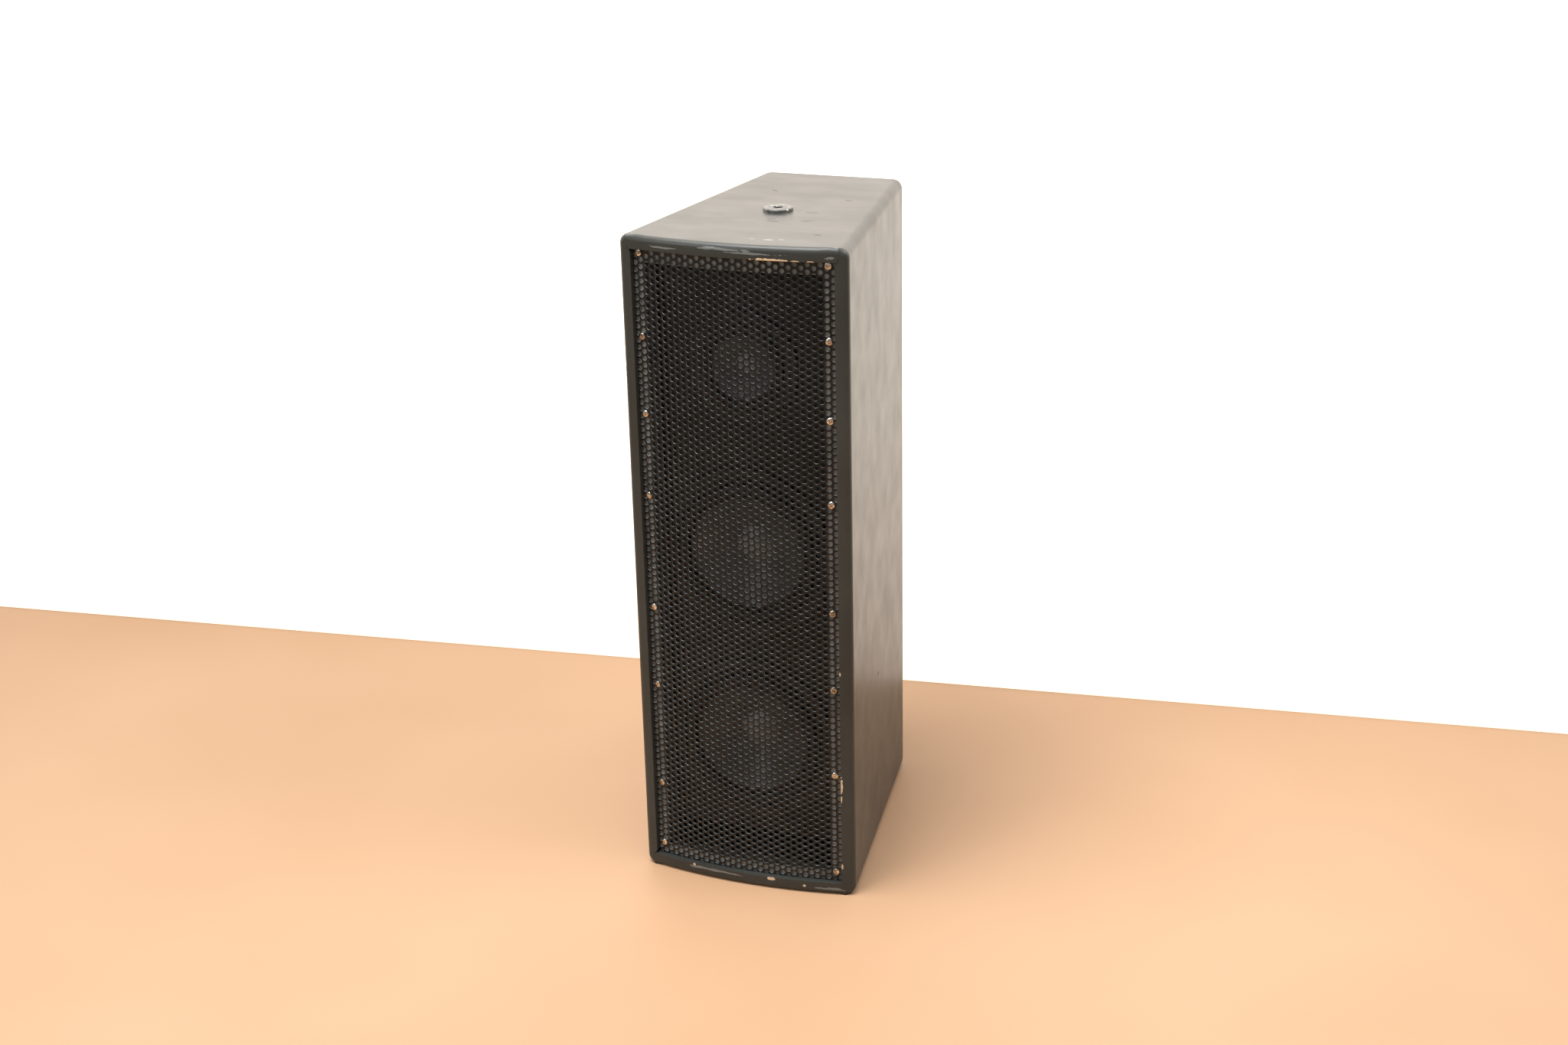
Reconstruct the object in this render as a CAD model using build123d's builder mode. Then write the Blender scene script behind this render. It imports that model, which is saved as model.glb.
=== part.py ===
from build123d import *
import os
from math import asin, degrees, sqrt
from types import SimpleNamespace

# A narrow two-way column loudspeaker: a tapered plywood cabinet with a bowed front, two bass
# drivers, one small treble driver, a slot port and a bowed perforated grille.
# Millimetres. +Z is up, the front faces -Y, and the origin is under the middle of the base.

os.makedirs("parts", exist_ok=True)

# ---------------------------------------------------------------- driving dimensions
# Cabinet
height = 616
front_width = 210  # across the two front corners
back_width = 138
corner_depth = 272.5  # from the front corners to the back
bow = 12  # how far the front bulges past its corners
board = 12.5  # plywood thickness
edge_radius = 9

# Front
grille_recess = 5  # below the front edge of the boards
grille_thickness = 1.2
grille_gap = 0.5  # around the edge of the sheet
grille_corner = 5
batten_width = 11  # ledge behind each long edge of the grille
top_batten_height = 12
bottom_batten_height = 10
cross_batten_depth = 14
baffle_depth = 34.25  # from the nose of the front to the face of the baffle
left_screw_heights = (24, 88, 190, 268, 377, 454, 525, 600)
right_screw_heights = (22, 122, 208, 283, 386, 463, 534, 600)
grille_screw_head = 3.2  # radius
grille_screw_shank = 1.7
grille_screw_length = 14
head_taper = 12  # degrees, on the heads of all screws

# Inside
slot_height = 29.5  # port slot, above the bottom board
shelf_thickness = 11
shelf_depth = 150
brace_height = 231
brace_hole = 24  # radius
brace_hole_places = ((-36, -50), (36, -50), (-32, 15), (32, 15), (0, 80))
divider_height = 428
shelf_board = 12
foam_thickness = 10
foam_gap = 1
foam_front_space = 60  # behind the baffle's face
foam_back_space = 25  # in front of the back board
level_board_gap = 0.1  # at each end of a level board

# Rigging inserts, M10
insert_flange = 13.5  # radius
insert_flange_height = 3
insert_barrel = 8
insert_bore = 4.25  # radius of the core of an M10 thread
insert_tail = 4  # barrel left standing inside the board
insert_rebate = 3.5  # depth of the seats let into the bottom and back boards
insert_fit = 0.05  # gap all round
insert_rounding = 1
top_insert_y = -14
back_insert_height = 556

# Input plate and sockets
plate_width = 104
plate_height = 124
plate_thickness = 2
plate_corner = 5.5
plate_centre = 170
plate_ledge = 10  # width of the step that the plate is screwed to, around a hole for the sockets
pocket_depth = 6
pocket_corner = 6
pocket_gap = 1
socket_pitch = 52
socket_flange = 36
socket_flange_thickness = 2
socket_shell = 15.5  # outside radius
socket_bore = 13.25
socket_core = 6.75
socket_length = 24
socket_floor = 3
socket_flange_corner = 4
plate_screw_inset = 6
plate_screw_head = 3.4  # radius, as are all screw sizes below but lengths and heights
plate_screw_head_height = 1.8
plate_screw_shank = 1.7
plate_screw_length = 8
socket_screw_offset = 14
socket_screw_head = 2.6
socket_screw_head_height = 1.4
socket_screw_shank = 1.4
contact_width = 3
contact_thickness = 0.6
contact_length = 14
contact_depth = 8  # below the socket's face

# Crossover
crossover_width = 96
crossover_height = 140
crossover_thickness = 1.6
crossover_centre = 330
standoff_length = 10
standoff_radius = 4
crossover_screw_inset = 6
crossover_screw_head = 3
crossover_screw_shank = 1.6
inductor_places = ((-22, 36), (22, 40))  # x and z from the middle of the board
inductor_radius = 18
inductor_hole = 9
inductor_height = 16
capacitor_sizes = ((-24, -6, 9, 34), (20, -2, 7, 30), (20, -22, 6, 26))  # x, z, radius, length
resistor_place = (-16, -44)
resistor_length = 50
resistor_width = 10

# Drivers: lengths along the axis are counted backwards from the face of the baffle
woofer = SimpleNamespace(
    flange=80,
    flange_thickness=4,
    cutout=71,
    roll_outer=67,
    roll_inner=55,
    cone_depth=24,
    cap=18,
    cap_rise=6.5,
    coil=13,
    coil_height=11,
    ledge=40,
    basket_depth=40,
    plate=45,
    plate_thickness=6,
    magnet=50,
    magnet_thickness=15,
    windows=6,
    screws=8,
    screw_circle=75.5,
)
treble = SimpleNamespace(
    flange=51,
    flange_thickness=3,
    cutout=44,
    roll_outer=38.5,
    roll_inner=32,
    cone_depth=12,
    cap=11.5,
    cap_rise=4.5,
    coil=8,
    coil_height=6,
    ledge=22,
    basket_depth=24,
    plate=28,
    plate_thickness=4,
    magnet=32,
    magnet_thickness=10,
    windows=4,
    screws=4,
    screw_circle=47.2,
)
drivers = (
    ("lower_woofer", woofer, 138),
    ("upper_woofer", woofer, 324),
    ("treble", treble, 498),
)
skin = 0.8  # cones, caps, surrounds and spiders
glue = 0.1  # gap between glued faces of parts that move apart
driver_screw_head = 3.4
driver_screw_shank = 1.8
driver_screw_length = 14
gasket_thickness = 1.5
gasket_width = 3
basket_wall = 2.5

# ---------------------------------------------------------------- worked out from those
back_y = (corner_depth + bow) / 2
nose_y = -back_y
corner_y = nose_y + bow
inside_back_y = back_y - board
baffle_y = nose_y + baffle_depth
front_radius = ((front_width / 2) ** 2 + bow**2) / (2 * bow)
front_centre_y = nose_y + front_radius
side_slope = (front_width - back_width) / 2 / corner_depth
side_wall = board * sqrt(1 + side_slope**2)  # board measured along X
roof_z = height - board
inner_height = height - 2 * board
grille_radius = front_radius - grille_recess
grille_inner_radius = grille_radius - grille_thickness
shelf_z = board + slot_height
baffle_z = shelf_z + shelf_thickness


def inner_half_width(y):
    """Half the clear width between the side boards."""
    return front_width / 2 - (y - corner_y) * side_slope - side_wall


def front_plane(depth, centre):
    """A plane that faces the listener, depth behind the baffle's face."""
    return Plane(origin=(0, baffle_y + depth, centre), x_dir=(1, 0, 0), z_dir=(0, -1, 0))


def back_plane(y, centre):
    """A plane that faces backwards."""
    return Plane(origin=(0, y, centre), x_dir=(-1, 0, 0), z_dir=(0, 1, 0))


def bowed_plane(side, z, radius):
    """A plane square to the bowed front, over the middle of a side batten."""
    angle = asin((grille_half_width - batten_width / 2) / grille_radius) * side
    out = Vector(0, -1, 0).rotate(Axis.Z, degrees(angle))
    origin = Vector(0, front_centre_y, z) + out * radius
    return Plane(origin=origin, x_dir=(0, 0, 1), z_dir=out)


def save(part, name):
    part.label = name
    export_step(part, f"parts/{name}.step")


grille_half_width = inner_half_width(corner_y) - grille_gap
screw_places = [(-1, z) for z in left_screw_heights] + [(1, z) for z in right_screw_heights]

# ---------------------------------------------------------------- cabinet boards
with BuildPart() as block:
    with BuildSketch():
        with BuildLine():
            ThreePointArc((-front_width / 2, corner_y), (0, nose_y), (front_width / 2, corner_y))
            Line((front_width / 2, corner_y), (back_width / 2, back_y))
            Line((back_width / 2, back_y), (-back_width / 2, back_y))
            Line((-back_width / 2, back_y), (-front_width / 2, corner_y))
        make_face()
    extrude(amount=height)
    fillet(block.edges().filter_by(Axis.Z), radius=edge_radius)
    ends = block.faces().filter_by(Axis.Z).edges()
    fillet(ends, radius=edge_radius - 0.1)

with BuildPart() as top_panel:
    add(block.part)
    with BuildSketch(Plane.XY.offset(roof_z)):
        Rectangle(2 * front_width, 2 * corner_depth)
    extrude(amount=board, mode=Mode.INTERSECT)
    with BuildSketch(Plane.XY.offset(roof_z)):
        with Locations((0, top_insert_y)):
            Circle(insert_barrel)
    extrude(amount=board, mode=Mode.SUBTRACT)
save(top_panel.part, "top_panel")

with BuildPart() as bottom_panel:
    add(block.part)
    with BuildSketch():
        Rectangle(2 * front_width, 2 * corner_depth)
    extrude(amount=board, mode=Mode.INTERSECT)
    with BuildSketch():
        with Locations((0, top_insert_y)):
            Circle(insert_barrel)
    extrude(amount=board, mode=Mode.SUBTRACT)
    with BuildSketch():
        with Locations((0, top_insert_y)):
            Circle(insert_flange)
    extrude(amount=insert_rebate, mode=Mode.SUBTRACT)
save(bottom_panel.part, "bottom_panel")

for name, side in (("left_side", -1), ("right_side", 1)):
    far = front_width * side
    near_front = inner_half_width(nose_y - 10) * side
    near_back = inner_half_width(back_y + 10) * side
    with BuildPart() as side_panel:
        add(block.part)
        with BuildSketch(Plane.XY.offset(board)):
            with BuildLine():
                Polyline(
                    (near_front, nose_y - 10),
                    (far, nose_y - 10),
                    (far, back_y + 10),
                    (near_back, back_y + 10),
                    close=True,
                )
            make_face()
        extrude(amount=inner_height, mode=Mode.INTERSECT)
    save(side_panel.part, name)

socket_heights = (plate_centre + socket_pitch / 2, plate_centre - socket_pitch / 2)
plate_y = back_y - pocket_depth  # the plate's inner face
plate_outer_y = plate_y + plate_thickness
plate_screws = [
    (x, z)
    for x in (-plate_width / 2 + plate_screw_inset, plate_width / 2 - plate_screw_inset)
    for z in (-plate_height / 2 + plate_screw_inset, 0, plate_height / 2 - plate_screw_inset)
]

with BuildPart() as back_panel:
    with BuildSketch(Plane.XY.offset(board)):
        with BuildLine():
            Polyline(
                (-inner_half_width(inside_back_y), inside_back_y),
                (inner_half_width(inside_back_y), inside_back_y),
                (inner_half_width(back_y), back_y),
                (-inner_half_width(back_y), back_y),
                close=True,
            )
        make_face()
    extrude(amount=inner_height)
    with BuildSketch(back_plane(back_y, plate_centre)):
        RectangleRounded(plate_width + pocket_gap, plate_height + pocket_gap, pocket_corner)
    extrude(amount=-pocket_depth, mode=Mode.SUBTRACT)
    with BuildSketch(back_plane(back_y, plate_centre)):
        RectangleRounded(plate_width - 2 * plate_ledge, plate_height - 2 * plate_ledge, pocket_corner)
    extrude(amount=-board, mode=Mode.SUBTRACT)
    with BuildSketch(back_plane(back_y, plate_centre)):
        with Locations(*plate_screws):
            Circle(plate_screw_shank + 0.05)
    extrude(amount=-board, mode=Mode.SUBTRACT)
    with BuildSketch(back_plane(back_y, back_insert_height)):
        Circle(insert_barrel)
    extrude(amount=-board, mode=Mode.SUBTRACT)
    with BuildSketch(back_plane(back_y, back_insert_height)):
        Circle(insert_flange)
    extrude(amount=-insert_rebate, mode=Mode.SUBTRACT)
save(back_panel.part, "back_panel")

# ---------------------------------------------------------------- inner boards
with BuildPart() as baffle:
    with BuildSketch(Plane.XY.offset(baffle_z)):
        with BuildLine():
            Polyline(
                (-inner_half_width(baffle_y), baffle_y),
                (inner_half_width(baffle_y), baffle_y),
                (inner_half_width(baffle_y + board), baffle_y + board),
                (-inner_half_width(baffle_y + board), baffle_y + board),
                close=True,
            )
        make_face()
    extrude(amount=roof_z - baffle_z)
    for name, size, centre in drivers:
        with BuildSketch(front_plane(0, centre)):
            Circle(size.cutout)
            with PolarLocations(size.screw_circle, size.screws, start_angle=180 / size.screws):
                Circle(driver_screw_shank + 0.1)
        extrude(amount=-board, mode=Mode.SUBTRACT)
save(baffle.part, "baffle")


def level_board(front, back):
    """Outline of a level board between the side boards."""
    return (
        (-inner_half_width(front) + level_board_gap, front),
        (inner_half_width(front) - level_board_gap, front),
        (inner_half_width(back) - level_board_gap, back),
        (-inner_half_width(back) + level_board_gap, back),
    )


with BuildPart() as port_shelf:
    with BuildSketch(Plane.XY.offset(shelf_z)):
        with BuildLine():
            Polyline(*level_board(baffle_y, baffle_y + shelf_depth), close=True)
        make_face()
    extrude(amount=shelf_thickness)
save(port_shelf.part, "port_shelf")

with BuildPart() as brace:
    with BuildSketch(Plane.XY.offset(brace_height - shelf_board / 2)):
        with BuildLine():
            Polyline(*level_board(baffle_y + board, inside_back_y), close=True)
        make_face()
        with Locations(*brace_hole_places):
            Circle(brace_hole, mode=Mode.SUBTRACT)
    extrude(amount=shelf_board)
save(brace.part, "brace")

with BuildPart() as divider:
    with BuildSketch(Plane.XY.offset(divider_height - shelf_board / 2)):
        with BuildLine():
            Polyline(*level_board(baffle_y + board, inside_back_y), close=True)
        make_face()
    extrude(amount=shelf_board)
save(divider.part, "divider")

foam_spans = (
    (baffle_z + foam_gap, brace_height - shelf_board / 2 - foam_gap),
    (brace_height + shelf_board / 2 + foam_gap, divider_height - shelf_board / 2 - foam_gap),
    (divider_height + shelf_board / 2 + foam_gap, roof_z - foam_gap),
)
foam_front = baffle_y + foam_front_space
foam_back = inside_back_y - foam_back_space
with BuildPart() as damping_foam:
    for low, high in foam_spans:
        with BuildSketch(Plane.XY.offset(low)):
            for side in (-1, 1):
                outer_front = (inner_half_width(foam_front) - foam_gap) * side
                outer_back = (inner_half_width(foam_back) - foam_gap) * side
                with BuildLine():
                    Polyline(
                        (outer_front, foam_front),
                        (outer_back, foam_back),
                        (outer_back - foam_thickness * side, foam_back),
                        (outer_front - foam_thickness * side, foam_front),
                        close=True,
                    )
                make_face()
        extrude(amount=high - low)
save(damping_foam.part, "damping_foam")

# ---------------------------------------------------------------- grille and its ledges
with BuildPart() as bowed_space:  # all that lies behind the grille sheet
    with BuildSketch(Plane.XY.offset(board)):
        with Locations((0, front_centre_y)):
            Circle(grille_inner_radius - 0.1)
    extrude(amount=inner_height)

with BuildPart() as side_battens:
    for side in (-1, 1):
        edge = (grille_half_width + grille_gap) * side
        ledge = (grille_half_width + grille_gap - batten_width) * side
        with BuildSketch(Plane.XY.offset(board)):
            with BuildLine():
                Polyline(
                    (ledge, nose_y),
                    (inner_half_width(nose_y) * side, nose_y),
                    (inner_half_width(baffle_y) * side, baffle_y),
                    (ledge, baffle_y),
                    close=True,
                )
            make_face()
        extrude(amount=inner_height)
    add(bowed_space.part, mode=Mode.INTERSECT)
    for side, z in screw_places:
        with BuildSketch(bowed_plane(side, z, grille_radius)):
            Circle(grille_screw_shank + 0.02)
        extrude(amount=-grille_screw_length - 2, mode=Mode.SUBTRACT)
save(side_battens.part, "side_battens")

cross_half = grille_half_width + grille_gap - batten_width - level_board_gap
cross_back = nose_y + grille_recess + grille_thickness + cross_batten_depth
with BuildPart() as cross_battens:
    for low, tall in ((board, bottom_batten_height), (roof_z - top_batten_height, top_batten_height)):
        with BuildSketch(Plane.XY.offset(low)):
            with Locations((0, (nose_y + cross_back) / 2)):
                Rectangle(2 * cross_half, cross_back - nose_y)
        extrude(amount=tall)
    add(bowed_space.part, mode=Mode.INTERSECT)
save(cross_battens.part, "cross_battens")

with BuildPart() as grille:
    with BuildSketch(Plane.XY.offset(board + grille_gap)):
        with Locations((0, front_centre_y)):
            Circle(grille_radius)
            Circle(grille_inner_radius, mode=Mode.SUBTRACT)
        with Locations((0, nose_y)):
            Rectangle(2 * grille_half_width, 2 * (bow + grille_recess + 5), mode=Mode.INTERSECT)
    extrude(amount=inner_height - 2 * grille_gap)
    fillet(grille.edges().filter_by(lambda e: e.length < 2 * grille_thickness), radius=grille_corner)
    for side, z in screw_places:
        with BuildSketch(bowed_plane(side, z, grille_radius + 1)):
            Circle(grille_screw_shank + 0.1)
        extrude(amount=-grille_thickness - 2, mode=Mode.SUBTRACT)
save(grille.part, "grille")

with BuildPart() as grille_screws:
    for side, z in screw_places:
        with BuildSketch(bowed_plane(side, z, grille_radius + 0.05)):
            Circle(grille_screw_head)
        extrude(amount=grille_screw_head / 2, taper=head_taper)
        with BuildSketch(bowed_plane(side, z, grille_radius + 0.05)):
            Circle(grille_screw_shank)
        extrude(amount=-grille_screw_length)
save(grille_screws.part, "grille_screws")

# ---------------------------------------------------------------- rigging inserts
def insert(plane, seat):
    """A flanged threaded insert. The plane lies under the flange and faces outwards, and
    seat is the depth of board under the flange."""
    with BuildPart() as body:
        with BuildSketch(plane):
            Circle(insert_flange - insert_fit)
        extrude(amount=insert_flange_height)
        rim = body.faces().sort_by(Axis(plane.origin, plane.z_dir))[-1].edges()
        fillet(rim, radius=insert_rounding)
        with BuildSketch(plane):
            Circle(insert_barrel - insert_fit)
        extrude(amount=-seat - insert_tail)
        with BuildSketch(plane.offset(insert_flange_height)):
            Circle(insert_bore)
        extrude(amount=-2 * board, mode=Mode.SUBTRACT)
    return body.part


sunk_seat = board - insert_rebate  # under a flange that is let into the board
top_insert = insert(Plane(origin=(0, top_insert_y, height), z_dir=(0, 0, 1)), board)
save(top_insert, "top_insert")
bottom_insert = insert(Plane(origin=(0, top_insert_y, insert_rebate), z_dir=(0, 0, -1)), sunk_seat)
save(bottom_insert, "bottom_insert")
back_insert = insert(back_plane(back_y - insert_rebate, back_insert_height), sunk_seat)
save(back_insert, "back_insert")

# ---------------------------------------------------------------- input plate and sockets
with BuildPart() as input_plate:
    with BuildSketch(back_plane(plate_y, plate_centre)):
        RectangleRounded(plate_width, plate_height, plate_corner)
        with Locations(*plate_screws):
            Circle(plate_screw_shank + 0.3, mode=Mode.SUBTRACT)
        for z in socket_heights:
            with Locations((0, z - plate_centre)):
                Circle(socket_shell + 0.1, mode=Mode.SUBTRACT)
                with GridLocations(2 * socket_screw_offset, 2 * socket_screw_offset, 2, 2):
                    Circle(socket_screw_shank + 0.1, mode=Mode.SUBTRACT)
    extrude(amount=plate_thickness)
save(input_plate.part, "input_plate")

with BuildPart() as input_plate_screws:
    with BuildSketch(back_plane(plate_outer_y, plate_centre)):
        with Locations(*plate_screws):
            Circle(plate_screw_head)
    extrude(amount=plate_screw_head_height, taper=head_taper)
    with BuildSketch(back_plane(plate_outer_y, plate_centre)):
        with Locations(*plate_screws):
            Circle(plate_screw_shank)
    extrude(amount=-plate_screw_length)
save(input_plate_screws.part, "input_plate_screws")

socket_face_y = plate_outer_y + socket_flange_thickness
for name, z in zip(("input_socket", "link_socket"), socket_heights):
    with BuildPart() as socket:
        with BuildSketch(back_plane(plate_outer_y, z)):
            RectangleRounded(socket_flange, socket_flange, socket_flange_corner)
            with GridLocations(2 * socket_screw_offset, 2 * socket_screw_offset, 2, 2):
                Circle(socket_screw_shank + 0.1, mode=Mode.SUBTRACT)
        extrude(amount=socket_flange_thickness)
        with BuildSketch(back_plane(plate_outer_y, z)):
            Circle(socket_shell)
        extrude(amount=-socket_length)
        with BuildSketch(back_plane(socket_face_y, z)):
            Circle(socket_bore)
            Circle(socket_core, mode=Mode.SUBTRACT)
        extrude(amount=-socket_length - socket_flange_thickness + socket_floor, mode=Mode.SUBTRACT)
    save(socket.part, name)

with BuildPart() as socket_contacts:
    for z in socket_heights:
        with BuildSketch(back_plane(socket_face_y - contact_depth, z)):
            with PolarLocations(socket_core + contact_thickness / 2 + 0.05, 4, start_angle=45):
                Rectangle(contact_thickness, contact_width)
        extrude(amount=-contact_length)
save(socket_contacts.part, "socket_contacts")

with BuildPart() as socket_screws:
    for z in socket_heights:
        with BuildSketch(back_plane(socket_face_y, z)):
            with GridLocations(2 * socket_screw_offset, 2 * socket_screw_offset, 2, 2):
                Circle(socket_screw_head)
        extrude(amount=socket_screw_head_height, taper=head_taper)
        with BuildSketch(back_plane(socket_face_y, z)):
            with GridLocations(2 * socket_screw_offset, 2 * socket_screw_offset, 2, 2):
                Circle(socket_screw_shank)
        extrude(amount=-plate_thickness - socket_flange_thickness)
save(socket_screws.part, "socket_screws")

# ---------------------------------------------------------------- crossover
crossover_y = inside_back_y - standoff_length  # the face of the board towards the back
crossover_screw_pitch = (
    crossover_width - 2 * crossover_screw_inset,
    crossover_height - 2 * crossover_screw_inset,
)
with BuildPart() as crossover_board:
    with BuildSketch(front_plane(crossover_y - baffle_y, crossover_centre)):
        RectangleRounded(crossover_width, crossover_height, 3)
        with GridLocations(*crossover_screw_pitch, 2, 2):
            Circle(crossover_screw_shank + 0.1, mode=Mode.SUBTRACT)
    extrude(amount=crossover_thickness)
save(crossover_board.part, "crossover_board")

with BuildPart() as crossover_standoffs:
    with BuildSketch(front_plane(crossover_y - baffle_y, crossover_centre)):
        with GridLocations(*crossover_screw_pitch, 2, 2):
            Circle(standoff_radius)
            Circle(crossover_screw_shank + 0.1, mode=Mode.SUBTRACT)
    extrude(amount=-standoff_length)
save(crossover_standoffs.part, "crossover_standoffs")

crossover_front = crossover_y - baffle_y - crossover_thickness
with BuildPart() as crossover_screws:
    with BuildSketch(front_plane(crossover_front, crossover_centre)):
        with GridLocations(*crossover_screw_pitch, 2, 2):
            Circle(crossover_screw_head)
    extrude(amount=2, taper=head_taper)
    with BuildSketch(front_plane(crossover_front, crossover_centre)):
        with GridLocations(*crossover_screw_pitch, 2, 2):
            Circle(crossover_screw_shank)
    extrude(amount=-standoff_length - crossover_thickness)
save(crossover_screws.part, "crossover_screws")

with BuildPart() as inductors:
    with BuildSketch(front_plane(crossover_front, crossover_centre)):
        with Locations(*inductor_places):
            Circle(inductor_radius)
            Circle(inductor_hole, mode=Mode.SUBTRACT)
    extrude(amount=inductor_height)
save(inductors.part, "inductors")

with BuildPart() as capacitors:
    for x, z, radius, length in capacitor_sizes:
        base = Vector(x - length / 2, baffle_y + crossover_front - radius, crossover_centre + z)
        with BuildSketch(Plane(origin=base, x_dir=(0, 1, 0), z_dir=(1, 0, 0))):
            Circle(radius)
        extrude(amount=length)
save(capacitors.part, "capacitors")

with BuildPart() as resistor:
    with BuildSketch(front_plane(crossover_front, crossover_centre)):
        with Locations(resistor_place):
            RectangleRounded(resistor_length, resistor_width, 1)
    extrude(amount=resistor_width)
save(resistor.part, "resistor")

# ---------------------------------------------------------------- drivers
def turned(centre, outline):
    """A solid of revolution about a driver's axis; the outline is (radius, depth) points."""
    with BuildPart() as body:
        with BuildSketch(Plane.XY.offset(centre)):
            with BuildLine():
                Polyline(*[(radius, baffle_y + depth) for radius, depth in outline], close=True)
            make_face()
        revolve(axis=Axis((0, 0, centre), (0, 1, 0)))
    return body.part


def arch(start, end, depth, rise, count=9):
    """Points of a half-round roll from one radius to another, bulging forwards."""
    middle = (start + end) / 2
    half = (end - start) / 2
    turns = [step / (count - 1) * 2 - 1 for step in range(count)]
    return [(middle + half * t, depth - rise * sqrt(max(0, 1 - t * t))) for t in turns]


for name, size, centre in drivers:
    face = -size.flange_thickness
    basket = size.basket_depth
    shoulder = 0.22 * basket
    ledge_depth = 0.66 * basket

    with BuildPart() as frame:
        with BuildSketch(Plane.XY.offset(centre)):
            with BuildLine():
                outline = (
                    (size.roll_outer - 1, face),
                    (size.flange, face),
                    (size.flange, 0),
                    (size.cutout - 1, 0),
                    (size.cutout - 1, shoulder),
                    (size.ledge + 7, ledge_depth + 3),
                    (size.plate, basket),
                    (size.coil + 12, basket),
                    (size.coil + 12, basket - basket_wall),
                    (size.ledge - 1, basket - basket_wall),
                    (size.ledge - 1, ledge_depth),
                    (size.ledge + 4, ledge_depth),
                    (size.cutout - 1 - basket_wall, shoulder - 1),
                    (size.cutout - 1 - basket_wall, face + basket_wall),
                    (size.roll_outer - 1, face + basket_wall),
                )
                Polyline(*[(radius, baffle_y + depth) for radius, depth in outline], close=True)
            make_face()
        revolve(axis=Axis((0, 0, centre), (0, 1, 0)))
        window_outer = size.cutout - 6
        window_inner = size.ledge + 9
        with BuildSketch(front_plane(shoulder - 2, centre)):
            with PolarLocations((window_outer + window_inner) / 2, size.windows):
                Rectangle(window_outer - window_inner, 0.62 * size.cutout)
        extrude(amount=-basket + shoulder, mode=Mode.SUBTRACT)
        with BuildSketch(front_plane(face - 1, centre)):
            with PolarLocations(size.screw_circle, size.screws, start_angle=180 / size.screws):
                Circle(driver_screw_shank + 0.3)
        extrude(amount=-size.flange_thickness - 2, mode=Mode.SUBTRACT)
    save(frame.part, f"{name}_frame")

    roll_rise = (size.roll_outer - size.roll_inner) / 2
    over = arch(size.roll_inner, size.roll_outer, face - skin, roll_rise)
    under = arch(size.roll_inner + skin, size.roll_outer - skin, face, roll_rise - skin)
    surround = turned(
        centre,
        [(size.roll_inner - 3, face), (size.roll_inner - 3, face - skin)]
        + over
        + [(size.roll_outer + 2.5, face - skin), (size.roll_outer + 2.5, face)]
        + under[::-1],
    )
    save(surround, f"{name}_surround")

    if size is woofer:
        gasket_back = face - skin
        gasket_inner = size.roll_outer + 0.5
        gasket = turned(
            centre,
            [
                (gasket_inner, gasket_back),
                (gasket_inner, gasket_back - gasket_thickness),
                (gasket_inner + gasket_width, gasket_back - gasket_thickness),
                (gasket_inner + gasket_width, gasket_back),
            ],
        )
        save(gasket, f"{name}_gasket")

    lip = face + glue
    neck = size.cone_depth
    cone = turned(
        centre,
        [
            (size.roll_inner, lip),
            (size.roll_inner - 3.2, lip),
            (size.coil + 0.1, neck - skin),
            (size.coil + 0.1, neck + 0.6),
            (size.roll_inner - 2.6, lip + skin + 0.3),
            (size.roll_inner, lip + skin),
        ],
    )
    save(cone, f"{name}_cone")

    slope = (neck - skin - lip) / (size.roll_inner - 3.2 - size.coil - 0.1)
    cap_rim = baffle_y + lip + (size.roll_inner - 3.2 - size.cap) * slope - 0.2
    cap_front = cap_rim - size.cap_rise
    cap_ball = (size.cap**2 + size.cap_rise**2) / (2 * size.cap_rise)
    with BuildPart() as dust_cap:
        with BuildSketch(Plane.XY.offset(centre)):
            with Locations((0, cap_front + cap_ball)):
                Circle(cap_ball)
                Circle(cap_ball - skin, mode=Mode.SUBTRACT)
            with Locations((0, cap_front)):
                Rectangle(size.cap, size.cap_rise, align=Align.MIN, mode=Mode.INTERSECT)
        revolve(axis=Axis((0, 0, centre), (0, 1, 0)))
    save(dust_cap.part, f"{name}_dust_cap")

    gap_middle = basket + size.plate_thickness / 2
    coil_end = gap_middle + size.coil_height / 2
    voice_coil = turned(
        centre,
        [
            (size.coil - 0.4, neck - 2 * skin),
            (size.coil, neck - 2 * skin),
            (size.coil, gap_middle - size.coil_height / 2),
            (size.coil + 1, gap_middle - size.coil_height / 2),
            (size.coil + 1, coil_end),
            (size.coil - 0.4, coil_end),
        ],
    )
    save(voice_coil, f"{name}_voice_coil")

    spider_in = size.coil + glue
    spider_out = size.ledge + 3
    wave = (spider_out - 4 - spider_in - 2) / 6
    crests = [(spider_in + 2 + wave * k, ledge_depth - skin + (0.9 if k % 2 else -0.9)) for k in range(7)]
    front_edge = [(spider_in, ledge_depth - skin)] + crests + [(spider_out, ledge_depth - skin)]
    spider = turned(centre, front_edge + [(r, d + skin - glue) for r, d in front_edge[::-1]])
    save(spider, f"{name}_spider")

    magnet_front = basket + size.plate_thickness
    magnet_back = magnet_front + size.magnet_thickness
    top_plate = turned(
        centre,
        [
            (size.coil + 1.5, basket),
            (size.plate, basket),
            (size.plate, magnet_front),
            (size.coil + 1.5, magnet_front),
        ],
    )
    save(top_plate, f"{name}_top_plate")

    magnet = turned(
        centre,
        [
            (size.coil + 7, magnet_front),
            (size.magnet, magnet_front),
            (size.magnet, magnet_back),
            (size.coil + 7, magnet_back),
        ],
    )
    save(magnet, f"{name}_magnet")

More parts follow.
